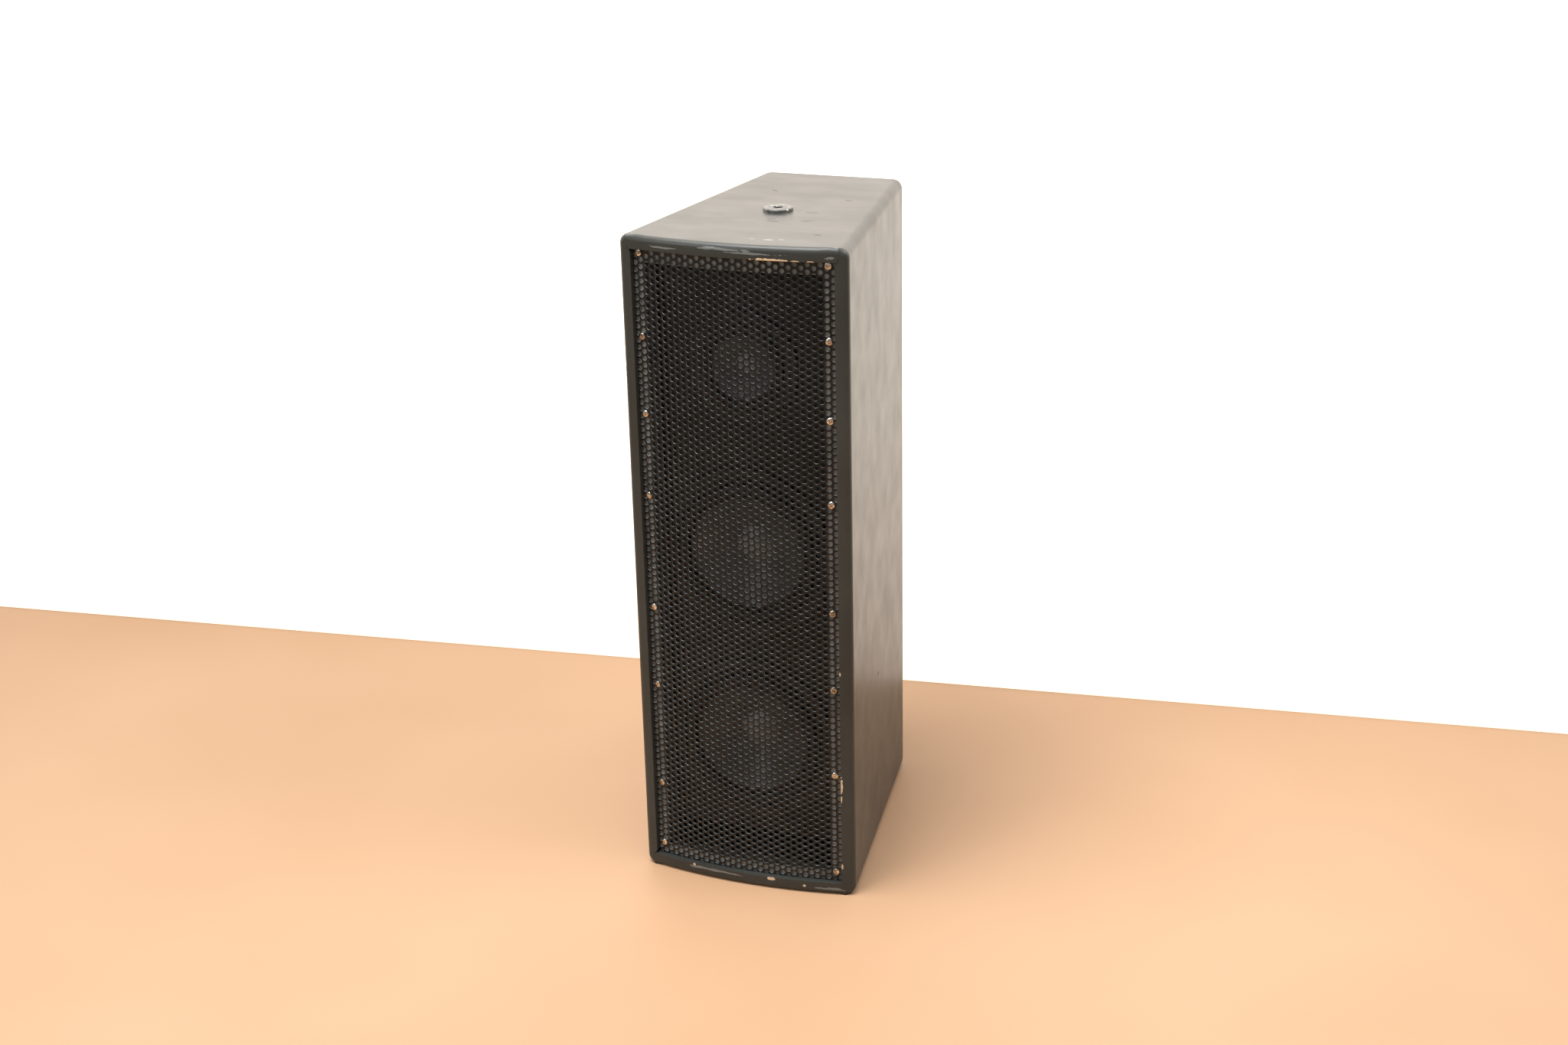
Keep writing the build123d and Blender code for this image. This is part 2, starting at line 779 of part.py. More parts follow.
    pole = size.coil - 0.9
    yoke = turned(
        centre,
        [
            (pole / 3, basket),
            (pole, basket),
            (pole, magnet_back),
            (size.plate, magnet_back),
            (size.plate, magnet_back + size.plate_thickness),
            (pole / 3, magnet_back + size.plate_thickness),
        ],
    )
    save(yoke, f"{name}_yoke")

for group, members in (("woofer_screws", drivers[:2]), ("treble_screws", drivers[2:])):
    with BuildPart() as driver_screws:
        for name, size, centre in members:
            with BuildSketch(front_plane(-size.flange_thickness, centre)):
                with PolarLocations(size.screw_circle, size.screws, start_angle=180 / size.screws):
                    Circle(driver_screw_head)
            extrude(amount=2, taper=head_taper)
            with BuildSketch(front_plane(-size.flange_thickness, centre)):
                with PolarLocations(size.screw_circle, size.screws, start_angle=180 / size.screws):
                    Circle(driver_screw_shank)
            extrude(amount=-driver_screw_length)
    save(driver_screws.part, group)
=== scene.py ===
# %% [markdown]
# # A narrow trapezoidal PA speaker
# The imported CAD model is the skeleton: its boards, drivers, inserts and sockets already have their
# true sizes and places. This file dresses it. Each cell makes one piece or one finish.

import math
import random

import bmesh
import bpy
from mathutils import Matrix, Vector


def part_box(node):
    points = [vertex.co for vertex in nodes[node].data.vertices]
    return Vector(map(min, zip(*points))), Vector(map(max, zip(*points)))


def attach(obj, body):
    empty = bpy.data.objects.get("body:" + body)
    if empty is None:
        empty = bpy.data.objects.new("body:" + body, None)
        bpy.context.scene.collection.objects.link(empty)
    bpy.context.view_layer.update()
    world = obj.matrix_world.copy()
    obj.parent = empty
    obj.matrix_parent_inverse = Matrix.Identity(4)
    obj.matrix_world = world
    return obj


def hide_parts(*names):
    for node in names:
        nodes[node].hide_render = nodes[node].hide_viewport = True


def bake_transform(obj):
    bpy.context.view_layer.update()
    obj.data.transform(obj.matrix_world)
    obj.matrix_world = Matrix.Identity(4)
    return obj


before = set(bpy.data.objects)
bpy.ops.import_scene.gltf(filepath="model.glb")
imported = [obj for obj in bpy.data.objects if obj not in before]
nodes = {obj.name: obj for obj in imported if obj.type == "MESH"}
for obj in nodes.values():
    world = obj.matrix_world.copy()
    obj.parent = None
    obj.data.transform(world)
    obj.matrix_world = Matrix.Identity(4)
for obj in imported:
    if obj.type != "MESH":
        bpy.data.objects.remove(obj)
bpy.context.view_layer.update()

# %% [markdown]
# The whole cabinet follows from a few lengths. The height, the depth and the board thickness are read
# off the CAD nodes, and the front and back widths and the bow of the front are given. The bow is a
# circle, so its radius follows from how wide the front is and how far its middle stands out.

# %% Driving lengths
MM = 0.001
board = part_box("bottom_panel")[1].z
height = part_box("top_panel")[1].z
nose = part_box("top_panel")[0].y
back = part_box("top_panel")[1].y
front_half = 105 * MM
back_half = 69 * MM
bow = 12 * MM
corner = nose + bow
bow_radius = (front_half**2 + bow**2) / (2 * bow)
bow_centre = nose + bow_radius
slope = (front_half - back_half) / (back - corner)
side_wall = board * math.sqrt(1 + slope**2)
inner_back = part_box("back_panel")[0].y
print("board", round(board, 4), "height", round(height, 4), "bow radius", round(bow_radius, 4))


def inner_half(y):
    """Half the clear width between the side boards at depth y."""
    return front_half - (y - corner) * slope - side_wall


# %% [markdown]
# Operators act on whatever is selected, so every piece starts with an empty selection. Faces and
# edges are then picked in code by where they are, which stays right when a size changes.

# %% Helpers for modelling
weld = 0.01 * MM
bpy.ops.object.select_all(action="DESELECT")


def only(piece):
    """Selects one object and makes it the active one."""
    bpy.ops.object.select_all(action="DESELECT")
    piece.select_set(True)
    bpy.context.view_layer.objects.active = piece


def added(name):
    """Names the primitive that was just added."""
    piece = bpy.context.object
    piece.name = name
    piece.data.name = name
    return piece


def pick(kind, test):
    """In edit mode, selects the faces, edges or vertices for which test is true."""
    bpy.ops.mesh.select_mode(type=kind)
    bpy.ops.mesh.select_all(action="DESELECT")
    mesh = bmesh.from_edit_mesh(bpy.context.object.data)
    items = {"VERT": mesh.verts, "EDGE": mesh.edges, "FACE": mesh.faces}[kind]
    chosen = [item for item in items if test(item)]
    for item in chosen:
        item.select_set(True)
    mesh.select_flush_mode()
    bmesh.update_edit_mesh(bpy.context.object.data)
    return len(chosen)


def edit(piece):
    only(piece)
    bpy.ops.object.mode_set(mode="EDIT")
    bpy.ops.mesh.select_mode(type="VERT")
    bpy.ops.mesh.select_all(action="SELECT")


def done():
    bpy.ops.object.mode_set(mode="OBJECT")


print("objects still selected", len(bpy.context.selected_objects))

# %% [markdown]
# A piece is finished by applying its modifiers and by putting its place into its mesh, so that its
# object stays at the origin. Shading needs some care: on a big flat face beside a rounded edge, plain
# smooth shading bends the light across the whole face. The Weighted Normal modifier gives the large
# faces the say over their corners, so they stay flat and only the rounding looks round.

# %% Helpers for finishing a mesh
def apply_all(piece):
    """Applies every modifier and puts the piece's place into its mesh."""
    only(piece)
    for modifier in list(piece.modifiers):
        bpy.ops.object.modifier_apply(modifier=modifier.name)
    bpy.ops.object.transform_apply(location=True, rotation=True, scale=True)
    return piece


def smooth(piece, degrees):
    """Smooth shading, with a crease wherever two faces meet at more than the angle."""
    only(piece)
    bpy.ops.object.shade_smooth_by_angle(angle=math.radians(degrees))
    return piece


def flat_faced(piece, degrees):
    """Smooth shading that leaves the big flat faces beside rounded edges truly flat."""
    smooth(piece, degrees)
    weighted = piece.modifiers.new("weighted", "WEIGHTED_NORMAL")
    weighted.weight = 100
    weighted.keep_sharp = True
    bpy.ops.object.modifier_apply(modifier=weighted.name)
    return piece


def cut(piece, cutter):
    """Takes the cutter's shape out of the piece and deletes the cutter."""
    boolean = piece.modifiers.new("cut", "BOOLEAN")
    boolean.operation = "DIFFERENCE"
    boolean.solver = "EXACT"
    boolean.object = cutter
    only(piece)
    bpy.ops.object.modifier_apply(modifier=boolean.name)
    bpy.data.objects.remove(cutter)


def placed_copy(source, name, matrix):
    """A copy with its own mesh, moved by matrix, with its object left at the origin."""
    piece = source.copy()
    piece.data = source.data.copy()
    piece.name = name
    piece.data.name = name
    bpy.context.scene.collection.objects.link(piece)
    piece.data.transform(matrix)
    return piece


def settle(piece, body, material, slot, *replaced):
    """Gives a finished piece its body, its material and the CAD nodes it stands for. The slot is not
    used.
    """
    piece.data.materials.clear()
    piece.data.materials.append(material)
    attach(piece, body)
    if replaced:
        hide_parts(*replaced)
    return piece


print("CAD nodes to dress", len(nodes))

# %% [markdown]
# Every finish is built from nodes that read Object coordinates, in metres, so a pattern has its real
# size and runs on unbroken from one piece to the next. A noise texture gives the pattern and a colour
# ramp turns its grey values into shades, so these two come first.

# %% Helpers for patterns
def new_material(name, color, roughness, metallic=0.0, specular=0.5):
    material = bpy.data.materials.new(name)
    material.use_nodes = True
    shader = material.node_tree.nodes["Principled BSDF"]
    shader.inputs["Base Color"].default_value = (*color, 1)
    shader.inputs["Roughness"].default_value = roughness
    shader.inputs["Metallic"].default_value = metallic
    shader.inputs["Specular IOR Level"].default_value = specular
    return material


def noise(material, scale, detail, stretch=(1, 1, 1)):
    """A noise pattern with scale features to the metre; returns its value socket."""
    tree = material.node_tree
    place = tree.nodes.new("ShaderNodeTexCoord")
    mapping = tree.nodes.new("ShaderNodeMapping")
    mapping.inputs["Scale"].default_value = stretch
    pattern = tree.nodes.new("ShaderNodeTexNoise")
    pattern.inputs["Scale"].default_value = scale
    pattern.inputs["Detail"].default_value = detail
    tree.links.new(place.outputs["Object"], mapping.inputs["Vector"])
    tree.links.new(mapping.outputs["Vector"], pattern.inputs["Vector"])
    return pattern.outputs["Fac"]


def ramp(material, value, stops):
    """A colour ramp from (position, colour) stops, or (position, number) for a grey one."""
    node = material.node_tree.nodes.new("ShaderNodeValToRGB")
    elements = node.color_ramp.elements
    while len(elements) < len(stops):
        elements.new(0.5)
    for element, (position, color) in zip(elements, stops):
        element.position = position
        element.color = (*color, 1) if isinstance(color, tuple) else (color, color, color, 1)
    material.node_tree.links.new(value, node.inputs["Fac"])
    return node.outputs["Color"]


print("materials so far", len(bpy.data.materials))

# %% [markdown]
# Patterns are combined with Math and Mix nodes and then fed to the shader. A Mix node has a set of
# sockets for each kind of value, and the sockets for colours are found by their number.

# %% Helpers for mixing patterns
MIX_FACTOR = 0
MIX_FIRST_COLOR = 6
MIX_SECOND_COLOR = 7
MIX_COLOR_RESULT = 2


def maths(material, operation, first, second=None, third=None):
    node = material.node_tree.nodes.new("ShaderNodeMath")
    node.operation = operation
    for socket, value in zip(node.inputs, (first, second, third)):
        if value is None:
            continue
        if isinstance(value, (int, float)):
            socket.default_value = value
        else:
            material.node_tree.links.new(value, socket)
    return node.outputs["Value"]


def mixed(material, factor, first, second):
    """Mixes two colours, each a tuple or a socket, by a factor socket."""
    node = material.node_tree.nodes.new("ShaderNodeMix")
    node.data_type = "RGBA"
    for number, value in ((MIX_FIRST_COLOR, first), (MIX_SECOND_COLOR, second)):
        socket = node.inputs[number]
        if isinstance(value, tuple):
            socket.default_value = (*value, 1)
        else:
            material.node_tree.links.new(value, socket)
    material.node_tree.links.new(factor, node.inputs[MIX_FACTOR])
    return node.outputs[MIX_COLOR_RESULT]


def feed(material, socket, name):
    """Links a value or colour to one socket of the shader."""
    shader = material.node_tree.nodes["Principled BSDF"]
    material.node_tree.links.new(socket, shader.inputs[name])


def bump(material, heights, strength=0.3, distance=0.0002):
    """Drives the surface's bump from one height socket."""
    node = material.node_tree.nodes.new("ShaderNodeBump")
    node.inputs["Strength"].default_value = strength
    node.inputs["Distance"].default_value = distance
    material.node_tree.links.new(heights, node.inputs["Height"])
    feed(material, node.outputs["Normal"], "Normal")


def mottled(material, scale, detail, dark, light, low=0.35, high=0.65):
    """Feeds the shader a colour that drifts between two shades; returns the pattern."""
    pattern = noise(material, scale, detail)
    feed(material, ramp(material, pattern, [(low, dark), (high, light)]), "Base Color")
    return pattern


print("colour sockets", MIX_FIRST_COLOR, "and", MIX_SECOND_COLOR)

# %% [markdown]
# The cabinet is plywood under a thick satin black paint that was rolled and brushed on. At a low angle
# it shines, so the top and the side look pale, and close up it has a fine grain with faint streaks.
# Years of carrying have left three kinds of marks. A chip shows bare wood, a nick is a short dark cut,
# and a rub is paint scuffed smooth and pale, partly real scuffing and partly a painted sheen. Each
# mark is a small ball-shaped region with a ragged edge, stretched along its own direction.
# region with a ragged edge, stretched along its own direction.

# %% Marks of wear and painted sheen
# Each mark is its place, its half lengths along x, y and z, and its turn about Z in degrees.
top_rim = height - board
chips = (
    ((0.036, nose + 4 * MM, top_rim + 0.6 * MM), (0.017, 0.006, 0.0016), 0),
    ((0.060, nose + 5 * MM, top_rim + 0.3 * MM), (0.004, 0.005, 0.0009), 0),
    ((0.073, nose + 6 * MM, top_rim + 0.3 * MM), (0.003, 0.005, 0.0008), 0),
    ((0.0935, corner - 1 * MM, 0.114), (0.0013, 0.005, 0.009), 0),
    ((0.0932, corner - 1 * MM, 0.100), (0.0010, 0.005, 0.004), 0),
    ((0.0932, corner - 1 * MM, 0.226), (0.0009, 0.004, 0.002), 0),
    ((0.0935, corner - 1 * MM, 0.030), (0.0009, 0.004, 0.003), 0),
    ((0.026, nose + 1 * MM, 0.0105), (0.0042, 0.004, 0.0016), 0),
    ((0.058, nose + 3 * MM, 0.0070), (0.0016, 0.004, 0.0012), 0),
    ((-0.052, nose + 3 * MM, 0.0110), (0.0014, 0.003, 0.0012), 0),
)
nicks = (
    ((0.049, 0.038, height), (0.0045, 0.0007, 0.003), -20),
    ((0.032, -0.016, height), (0.0065, 0.0006, 0.003), 8),
    ((0.039, -0.047, height), (0.0055, 0.0007, 0.003), 14),
    ((0.064, -0.092, height), (0.0040, 0.0009, 0.003), 5),
    ((0.010, -0.055, height), (0.0060, 0.0007, 0.003), -6),
    ((0.006, -0.047, height), (0.0040, 0.0006, 0.003), 25),
    ((-0.030, 0.060, height), (0.0050, 0.0006, 0.003), -35),
    ((0.104, -0.098, height - 0.022), (0.003, 0.0008, 0.008), 0),
    ((0.100, -0.070, height - 0.015), (0.003, 0.0008, 0.006), 0),
    ((0.089, -0.005, 0.170), (0.003, 0.0040, 0.0010), 0),
)
# Rubs are scuffed paint whose pale colour is partly a painted sheen.
rubs_and_painted_sheen = (
    ((0.015, -0.119, height), (0.0050, 0.0012, 0.002), 5),
    ((0.029, -0.118, height), (0.0036, 0.0012, 0.002), 5),
    ((0.040, -0.115, height), (0.0026, 0.0010, 0.002), 5),
    ((-0.010, nose, height - 5 * MM), (0.030, 0.006, 0.0011), 0),
    ((0.020, nose + 1 * MM, height - 7 * MM), (0.028, 0.006, 0.0010), 0),
    ((-0.058, nose + 4 * MM, height - 8 * MM), (0.012, 0.006, 0.0008), 0),
    ((0.090, corner - 2 * MM, height - 9 * MM), (0.004, 0.006, 0.0012), 0),
    ((-0.103, corner, 0.47), (0.0008, 0.003, 0.050), 0),
    ((-0.040, nose + 2 * MM, 0.009), (0.030, 0.006, 0.0012), 0),
    ((0.080, corner - 3 * MM, 0.006), (0.012, 0.006, 0.0016), 0),
)
print("marks to lay", len(chips) + len(nicks) + len(rubs_and_painted_sheen))

# %% [markdown]
# A mark is a mask: white where the paint is damaged, black elsewhere. A Mapping node of the Texture kind
# moves, turns and scales space so that the stretched ball becomes a ball of radius 1 at the origin, and
# the distance from the origin then tells inside from outside. Noise added to that distance tears the
# edge. All the masks of one kind are joined by taking the greater value.

# %% Masks for the marks
def region(material, place, size, turn, ragged):
    """A mask that is 1 inside a stretched ball and 0 outside, with a ragged edge."""
    tree = material.node_tree
    coordinates = tree.nodes.new("ShaderNodeTexCoord")
    mapping = tree.nodes.new("ShaderNodeMapping")
    mapping.vector_type = "TEXTURE"
    mapping.inputs["Location"].default_value = place
    mapping.inputs["Rotation"].default_value = (0, 0, math.radians(turn))
    mapping.inputs["Scale"].default_value = size
    length = tree.nodes.new("ShaderNodeVectorMath")
    length.operation = "LENGTH"
    tree.links.new(coordinates.outputs["Object"], mapping.inputs["Vector"])
    tree.links.new(mapping.outputs["Vector"], length.inputs[0])
    edge = maths(material, "ADD", length.outputs["Value"], ragged)
    return maths(material, "LESS_THAN", edge, 1.0)


def marks(material, regions, ragged):
    """All the regions of one kind of mark in one mask."""
    whole = None
    for place, size, turn in regions:
        mask = region(material, place, size, turn, ragged)
        whole = mask if whole is None else maths(material, "MAXIMUM", whole, mask)
    return whole


print("kinds of marks", len((chips, nicks, rubs_and_painted_sheen)))

# %% [markdown]
# The paint puts it together. Two shades of black drift over the boards, brushed streaks and a fine
# grain make the bump, and the gloss is uneven. Bare wood and cuts are sunk and dull, and a rub is
# smoother than the paint round it and paler, partly a painted sheen. A real coat could also be
# painted by hand on an image, but patterns from nodes stay sharp at any distance.

# %% Cabinet paint
def paint_material():
    """Satin black with a grain, with the marks worked into its colour, gloss and bump, and a painted
    sheen in the rubs.
    """
    shades = [(0.3, (0.030, 0.0315, 0.028)), (0.7, (0.049, 0.051, 0.0455))]
    wood_shades = [(0.3, (0.50, 0.33, 0.18)), (0.7, (0.80, 0.64, 0.44))]
    gloss_range = [(0.3, 0.315), (0.7, 0.385)]
    # The pale colour of the rubs: partly scuffed paint, partly a painted sheen.
    scuff_and_painted_sheen = (0.17, 0.18, 0.175)
    cut_dark = (0.008, 0.008, 0.008)
    paint = new_material("cabinet_paint", (0.032, 0.035, 0.032), 0.36, specular=0.3)
    tone = ramp(paint, noise(paint, 7, 4), shades)
    streaks = noise(paint, 45, 4, (0.25, 1.2, 1.6))
    fine = noise(paint, 800, 3)
    grain = maths(paint, "MULTIPLY_ADD", streaks, 0.5, maths(paint, "MULTIPLY", fine, 0.35))
    gloss = ramp(paint, noise(paint, 38, 6, (0.5, 1, 0.8)), gloss_range)
    torn = maths(paint, "MULTIPLY_ADD", noise(paint, 420, 3), 1.6, -0.8)
    bare = marks(paint, chips, torn)
    cuts = marks(paint, nicks, maths(paint, "MULTIPLY", torn, 0.7))
    scuffs = noise(paint, 330, 4, (0.22, 1, 1))
    worn = marks(paint, rubs_and_painted_sheen, maths(paint, "MULTIPLY_ADD", scuffs, 4.0, -1.9))
    wood = ramp(paint, noise(paint, 300, 3, (1, 1, 3)), wood_shades)
    # Here the rubs turn the paint pale, partly scuffs and partly a painted sheen.
    color = mixed(paint, worn, tone, scuff_and_painted_sheen)
    color = mixed(paint, cuts, color, cut_dark)
    feed(paint, mixed(paint, bare, color, wood), "Base Color")
    matt = maths(paint, "MULTIPLY_ADD", maths(paint, "MAXIMUM", bare, cuts), 0.35, gloss)
    feed(paint, maths(paint, "MULTIPLY_ADD", worn, -0.14, matt), "Roughness")
    sunk = maths(paint, "ADD", bare, cuts)
    bump(paint, maths(paint, "SUBTRACT", grain, sunk), 0.28, 0.0003)
    return paint


paint = paint_material()
print("paint has", len(chips), "chips,", len(nicks), "nicks and", len(rubs_and_painted_sheen), "rubs_and_painted_sheen")

# %% [markdown]
# The painted cabinet is one skin on the real thing: paint hides the joints between the boards. So the
# five outer boards are shown as one shell. It starts as a cube of the cabinet's depth. Its back face is
# narrowed, and its front face is divided into strips that are moved out on to the bow. Drawing the
# outline as a curve and extruding it would do as well, but a cube keeps the faces in tidy strips.

# %% Cabinet block
strips = 24
bpy.ops.mesh.primitive_cube_add(size=1, location=(0, (corner + back) / 2, height / 2))
shell = added("cabinet_shell")
shell.scale = (2 * front_half, back - corner, height)
bpy.ops.object.transform_apply(location=True, scale=True)
edit(shell)
pick("FACE", lambda f: f.normal.y > 0.9)
bpy.ops.transform.resize(value=(back_half / front_half, 1, 1))


def across_front(e):
    """True on the edges that run across the front of the block."""
    run = abs(e.verts[0].co.x - e.verts[1].co.x)
    return run > MM and all(abs(v.co.y - corner) < MM for v in e.verts)


pick("EDGE", across_front)
bpy.ops.mesh.subdivide(number_cuts=strips - 1)
for strip in range(1, strips):
    x = -front_half + 2 * front_half * strip / strips
    out = math.sqrt(bow_radius**2 - x**2) - (bow_radius - bow)
    pick("VERT", lambda v: abs(v.co.x - x) < 0.1 * MM and v.co.y < corner + MM)
    bpy.ops.transform.translate(value=(0, -out, 0))
print("front strips", pick("FACE", lambda f: f.normal.y < -0.9))

# %% [markdown]
# The front strips are still selected, so the opening is made from them. They are inset by the thickness
# of a board, which leaves the frame, and extruded back, which makes the inner walls. Scaling Y to
# nothing flattens the bowed floor of the hollow, which then moves to the inside of the back board.

# %% Front opening
first_push = 0.2
opening_half = inner_half(corner)
narrowing = inner_half(inner_back) / opening_half
bpy.ops.mesh.inset(thickness=board, depth=0, use_boundary=True, use_even_offset=True)
bpy.ops.mesh.extrude_region_move(TRANSFORM_OT_translate={"value": (0, first_push, 0)})
bpy.ops.transform.resize(value=(narrowing, 0, 1))
faces = bmesh.from_edit_mesh(shell.data).faces
floor_y = next(f.calc_center_median().y for f in faces if f.select)
bpy.ops.transform.translate(value=(0, inner_back - floor_y, 0))
print("opening is", round(2 * opening_half, 4), "wide")

# %% [markdown]
# A router has rounded every outside edge. The edges that run back from the front are done first, so
# that the front face gets round corners, and then the whole rim of the front face in one go. The
# corners inside the opening have a smaller radius, and the opening's own rim is just broken. Each set
# of edges is told from the others by where its ends lie.

# %% Telling the edges apart
skin_gap = 0.3 * MM
bow_gap = 0.4 * MM
wall_gap = 0.5 * MM


def outer(v):
    """True on the outside skin of the cabinet."""
    limit = front_half - (v.co.y - corner) * slope
    sides = abs(abs(v.co.x) - limit) < skin_gap
    ends = v.co.z < skin_gap or v.co.z > height - skin_gap
    return sides or ends or v.co.y > back - skin_gap


def bends(e, degrees=20):
    """True if the two faces beside the edge meet at an angle."""
    return len(e.link_faces) == 2 and e.calc_face_angle(0) > math.radians(degrees)


def on_front(v):
    """True on the bowed front face."""
    out = math.sqrt(max(bow_radius**2 - v.co.x**2, 0))
    return abs(bow_centre - out - v.co.y) < bow_gap


def outside_opening(v, margin=2 * MM):
    """True on the frame round the opening, away from the opening's own edge."""
    level = board - margin < v.co.z < height - board + margin
    return abs(v.co.x) > opening_half + margin or not level


def outside_edge(e):
    """True on the outside edges that aren't on the front face."""
    outside = all(outer(v) for v in e.verts)
    return bends(e) and outside and not all(on_front(v) for v in e.verts)


def front_edge(e):
    """True on the outer rim of the front face."""
    return bends(e) and all(outside_opening(v) and on_front(v) for v in e.verts)


def corner_edge(e):
    """True on the four edges that run back along the corners of the opening."""
    inside = all(abs(abs(v.co.x) - inner_half(v.co.y)) < wall_gap for v in e.verts)
    heights = [min(abs(v.co.z - board), abs(v.co.z - height + board)) for v in e.verts]
    long = abs(e.verts[0].co.y - e.verts[1].co.y) > 0.1
    return inside and max(heights) < wall_gap and long


def opening_edge(e):
    """True on the rim of the opening."""
    return bends(e) and all(on_front(v) and not outside_opening(v) for v in e.verts)


print("edges before rounding", len(bmesh.from_edit_mesh(shell.data).edges))

# %% [markdown]
# Each set is picked and bevelled in turn. More segments go to the larger radii, where facets would show.

# %% Rounded edges
opening_corner = 5 * MM
for label, test, radius, segments in (
    ("outside edges", outside_edge, 9 * MM, 6),
    ("front rim edges", front_edge, 5 * MM, 4),
    ("opening corners", corner_edge, opening_corner, 5),
    ("opening rim edges", opening_edge, 0.8 * MM, 2),
):
    edges = pick("EDGE", test)
    bpy.ops.mesh.bevel(offset=radius, segments=segments, profile=0.5)
    print(label, edges)
done()
print("shell faces", len(shell.data.polygons))

# %% [markdown]
# The back and the ends of the cabinet are machined: a shallow pocket with a smaller hole in its floor
# takes the input plate, and three inserts sit in bored seats. Each is a cutter that a Boolean modifier
# takes out of the shell. The cutters are deeper than the wood, so no skin is left over a hole. Two
# kinds of cutter are enough: a block with rounded edges and a rod.

# %% Blocks and rods
plate_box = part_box("input_plate")
plate_middle = (plate_box[0] + plate_box[1]) / 2
pocket_depth = back - plate_box[0].y
plate_ledge = 10 * MM
insert_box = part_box("top_insert")
insert_y = (insert_box[0].y + insert_box[1].y) / 2
back_insert_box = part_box("back_insert")
back_insert_z = (back_insert_box[0].z + back_insert_box[1].z) / 2
flange = (insert_box[1].x - insert_box[0].x) / 2
barrel = 8 * MM
seat = 3.5 * MM


def block(name, middle, size, corner_radius=0.0):
    """A cube, with the edges that run along Y rounded."""
    bpy.ops.mesh.primitive_cube_add(size=1, location=middle)
    piece = added(name)
    piece.scale = size
    bpy.ops.object.transform_apply(location=True, scale=True)
    if corner_radius:
        edit(piece)
        pick("EDGE", lambda e: abs(abs(e.verts[0].co.y - e.verts[1].co.y) - size[1]) < weld)
        bpy.ops.mesh.bevel(offset=corner_radius, segments=4)
        done()
    return piece


def rod(name, middle, radius, length, axis, vertices=48):
    """A cylinder along Y or Z."""
    turn = {"Y": (math.pi / 2, 0, 0), "Z": (0, 0, 0)}[axis]
    bpy.ops.mesh.primitive_cylinder_add(
        vertices=vertices, radius=radius, depth=length, location=middle, rotation=turn
    )
    piece = added(name)
    bpy.ops.object.transform_apply(location=True, rotation=True)
    return piece


print("pocket", round(pocket_depth, 4), "deep, insert barrels", round(2 * barrel, 4), "wide")

# %% [markdown]
# The openings are cut one after another, and only then is the shell shaded and given its paint. It
# stands for five boards of the CAD model at once.

# %% Pocket, hole and seats
plate_size = plate_box[1] - plate_box[0]
spare = 10 * MM
pocket_corner = 6 * MM
pocket_middle = (0, back - pocket_depth / 2 + spare / 2, plate_middle.z)
pocket_size = (plate_size.x + MM, pocket_depth + spare, plate_size.z + MM)
hole_size = (plate_size.x - 2 * plate_ledge, 4 * board, plate_size.z - 2 * plate_ledge)
cut(shell, block("cutter", pocket_middle, pocket_size, pocket_corner))
cut(shell, block("cutter", (0, back, plate_middle.z), hole_size, pocket_corner))
on_top = (0, insert_y, height)
on_bottom = (0, insert_y, 0)
on_back = (0, back, back_insert_z)
seat_radius = flange + 0.05 * MM
for place, radius, length, axis in (
    (on_top, barrel, 3 * board, "Z"),
    (on_bottom, barrel, 3 * board, "Z"),
    (on_bottom, seat_radius, 2 * seat, "Z"),
    (on_back, barrel, 3 * board, "Y"),
    (on_back, seat_radius, 2 * seat, "Y"),
):
    cut(shell, rod("cutter", place, radius, length, axis))
flat_faced(shell, 40)
boards = ("top_panel", "bottom_panel", "left_side", "right_side", "back_panel")
settle(shell, "cabinet", paint, "cabinet_paint", *boards)
print("shell faces", len(shell.data.polygons))

# %% [markdown]
# The grille is stock perforated steel: round holes on a 60 degree stagger. It has a thin black powder
# coat, worn shiny in places. Small bright crescents on the punched edges of the holes make the sheet
# read as metal, and they are painted: the walls of the holes get a pale grey finish of their own, a
# painted highlight that stands for the light those edges catch.

# %% Grille paint
def grille_material():
    """Thin black powder coat, a little greyer where hands have rubbed it."""
    steel = new_material("grille_paint", (0.010, 0.011, 0.011), 0.36, specular=0.3)
    mottled(steel, 18, 4, (0.006, 0.0065, 0.0065), (0.016, 0.017, 0.017), high=0.7)
    feed(steel, ramp(steel, noise(steel, 60, 4), [(0.3, 0.28), (0.7, 0.44)]), "Roughness")
    bump(steel, noise(steel, 1500, 2), 0.2, 0.0001)
    return steel


def grille_edge_highlight_material():
    """The walls of each hole in pale grey, a painted highlight for the light the punched edges catch."""
    steel = new_material("grille_edge_highlight", (0.20, 0.215, 0.22), 0.3, specular=0.6)
    mottled(steel, 160, 4, (0.125, 0.138, 0.145), (0.30, 0.33, 0.345))
    bump(steel, noise(steel, 2500, 2), 0.2, 0.0001)
    return steel


steel = grille_material()
# The second finish is a pale grey on the hole walls, a painted highlight.
hole_wall_highlight = grille_edge_highlight_material()
print("grille finishes", steel.name, "and", hole_wall_highlight.name)

# %% [markdown]
# Cutting thousands of holes would be slow, so one hole with its hexagon of metal is modelled and then
# repeated. It starts as a six-sided circle. Its sides are divided, the face is inset, and the inner
# ring is pulled round by To Sphere and scaled to the radius of the hole before its face is deleted.

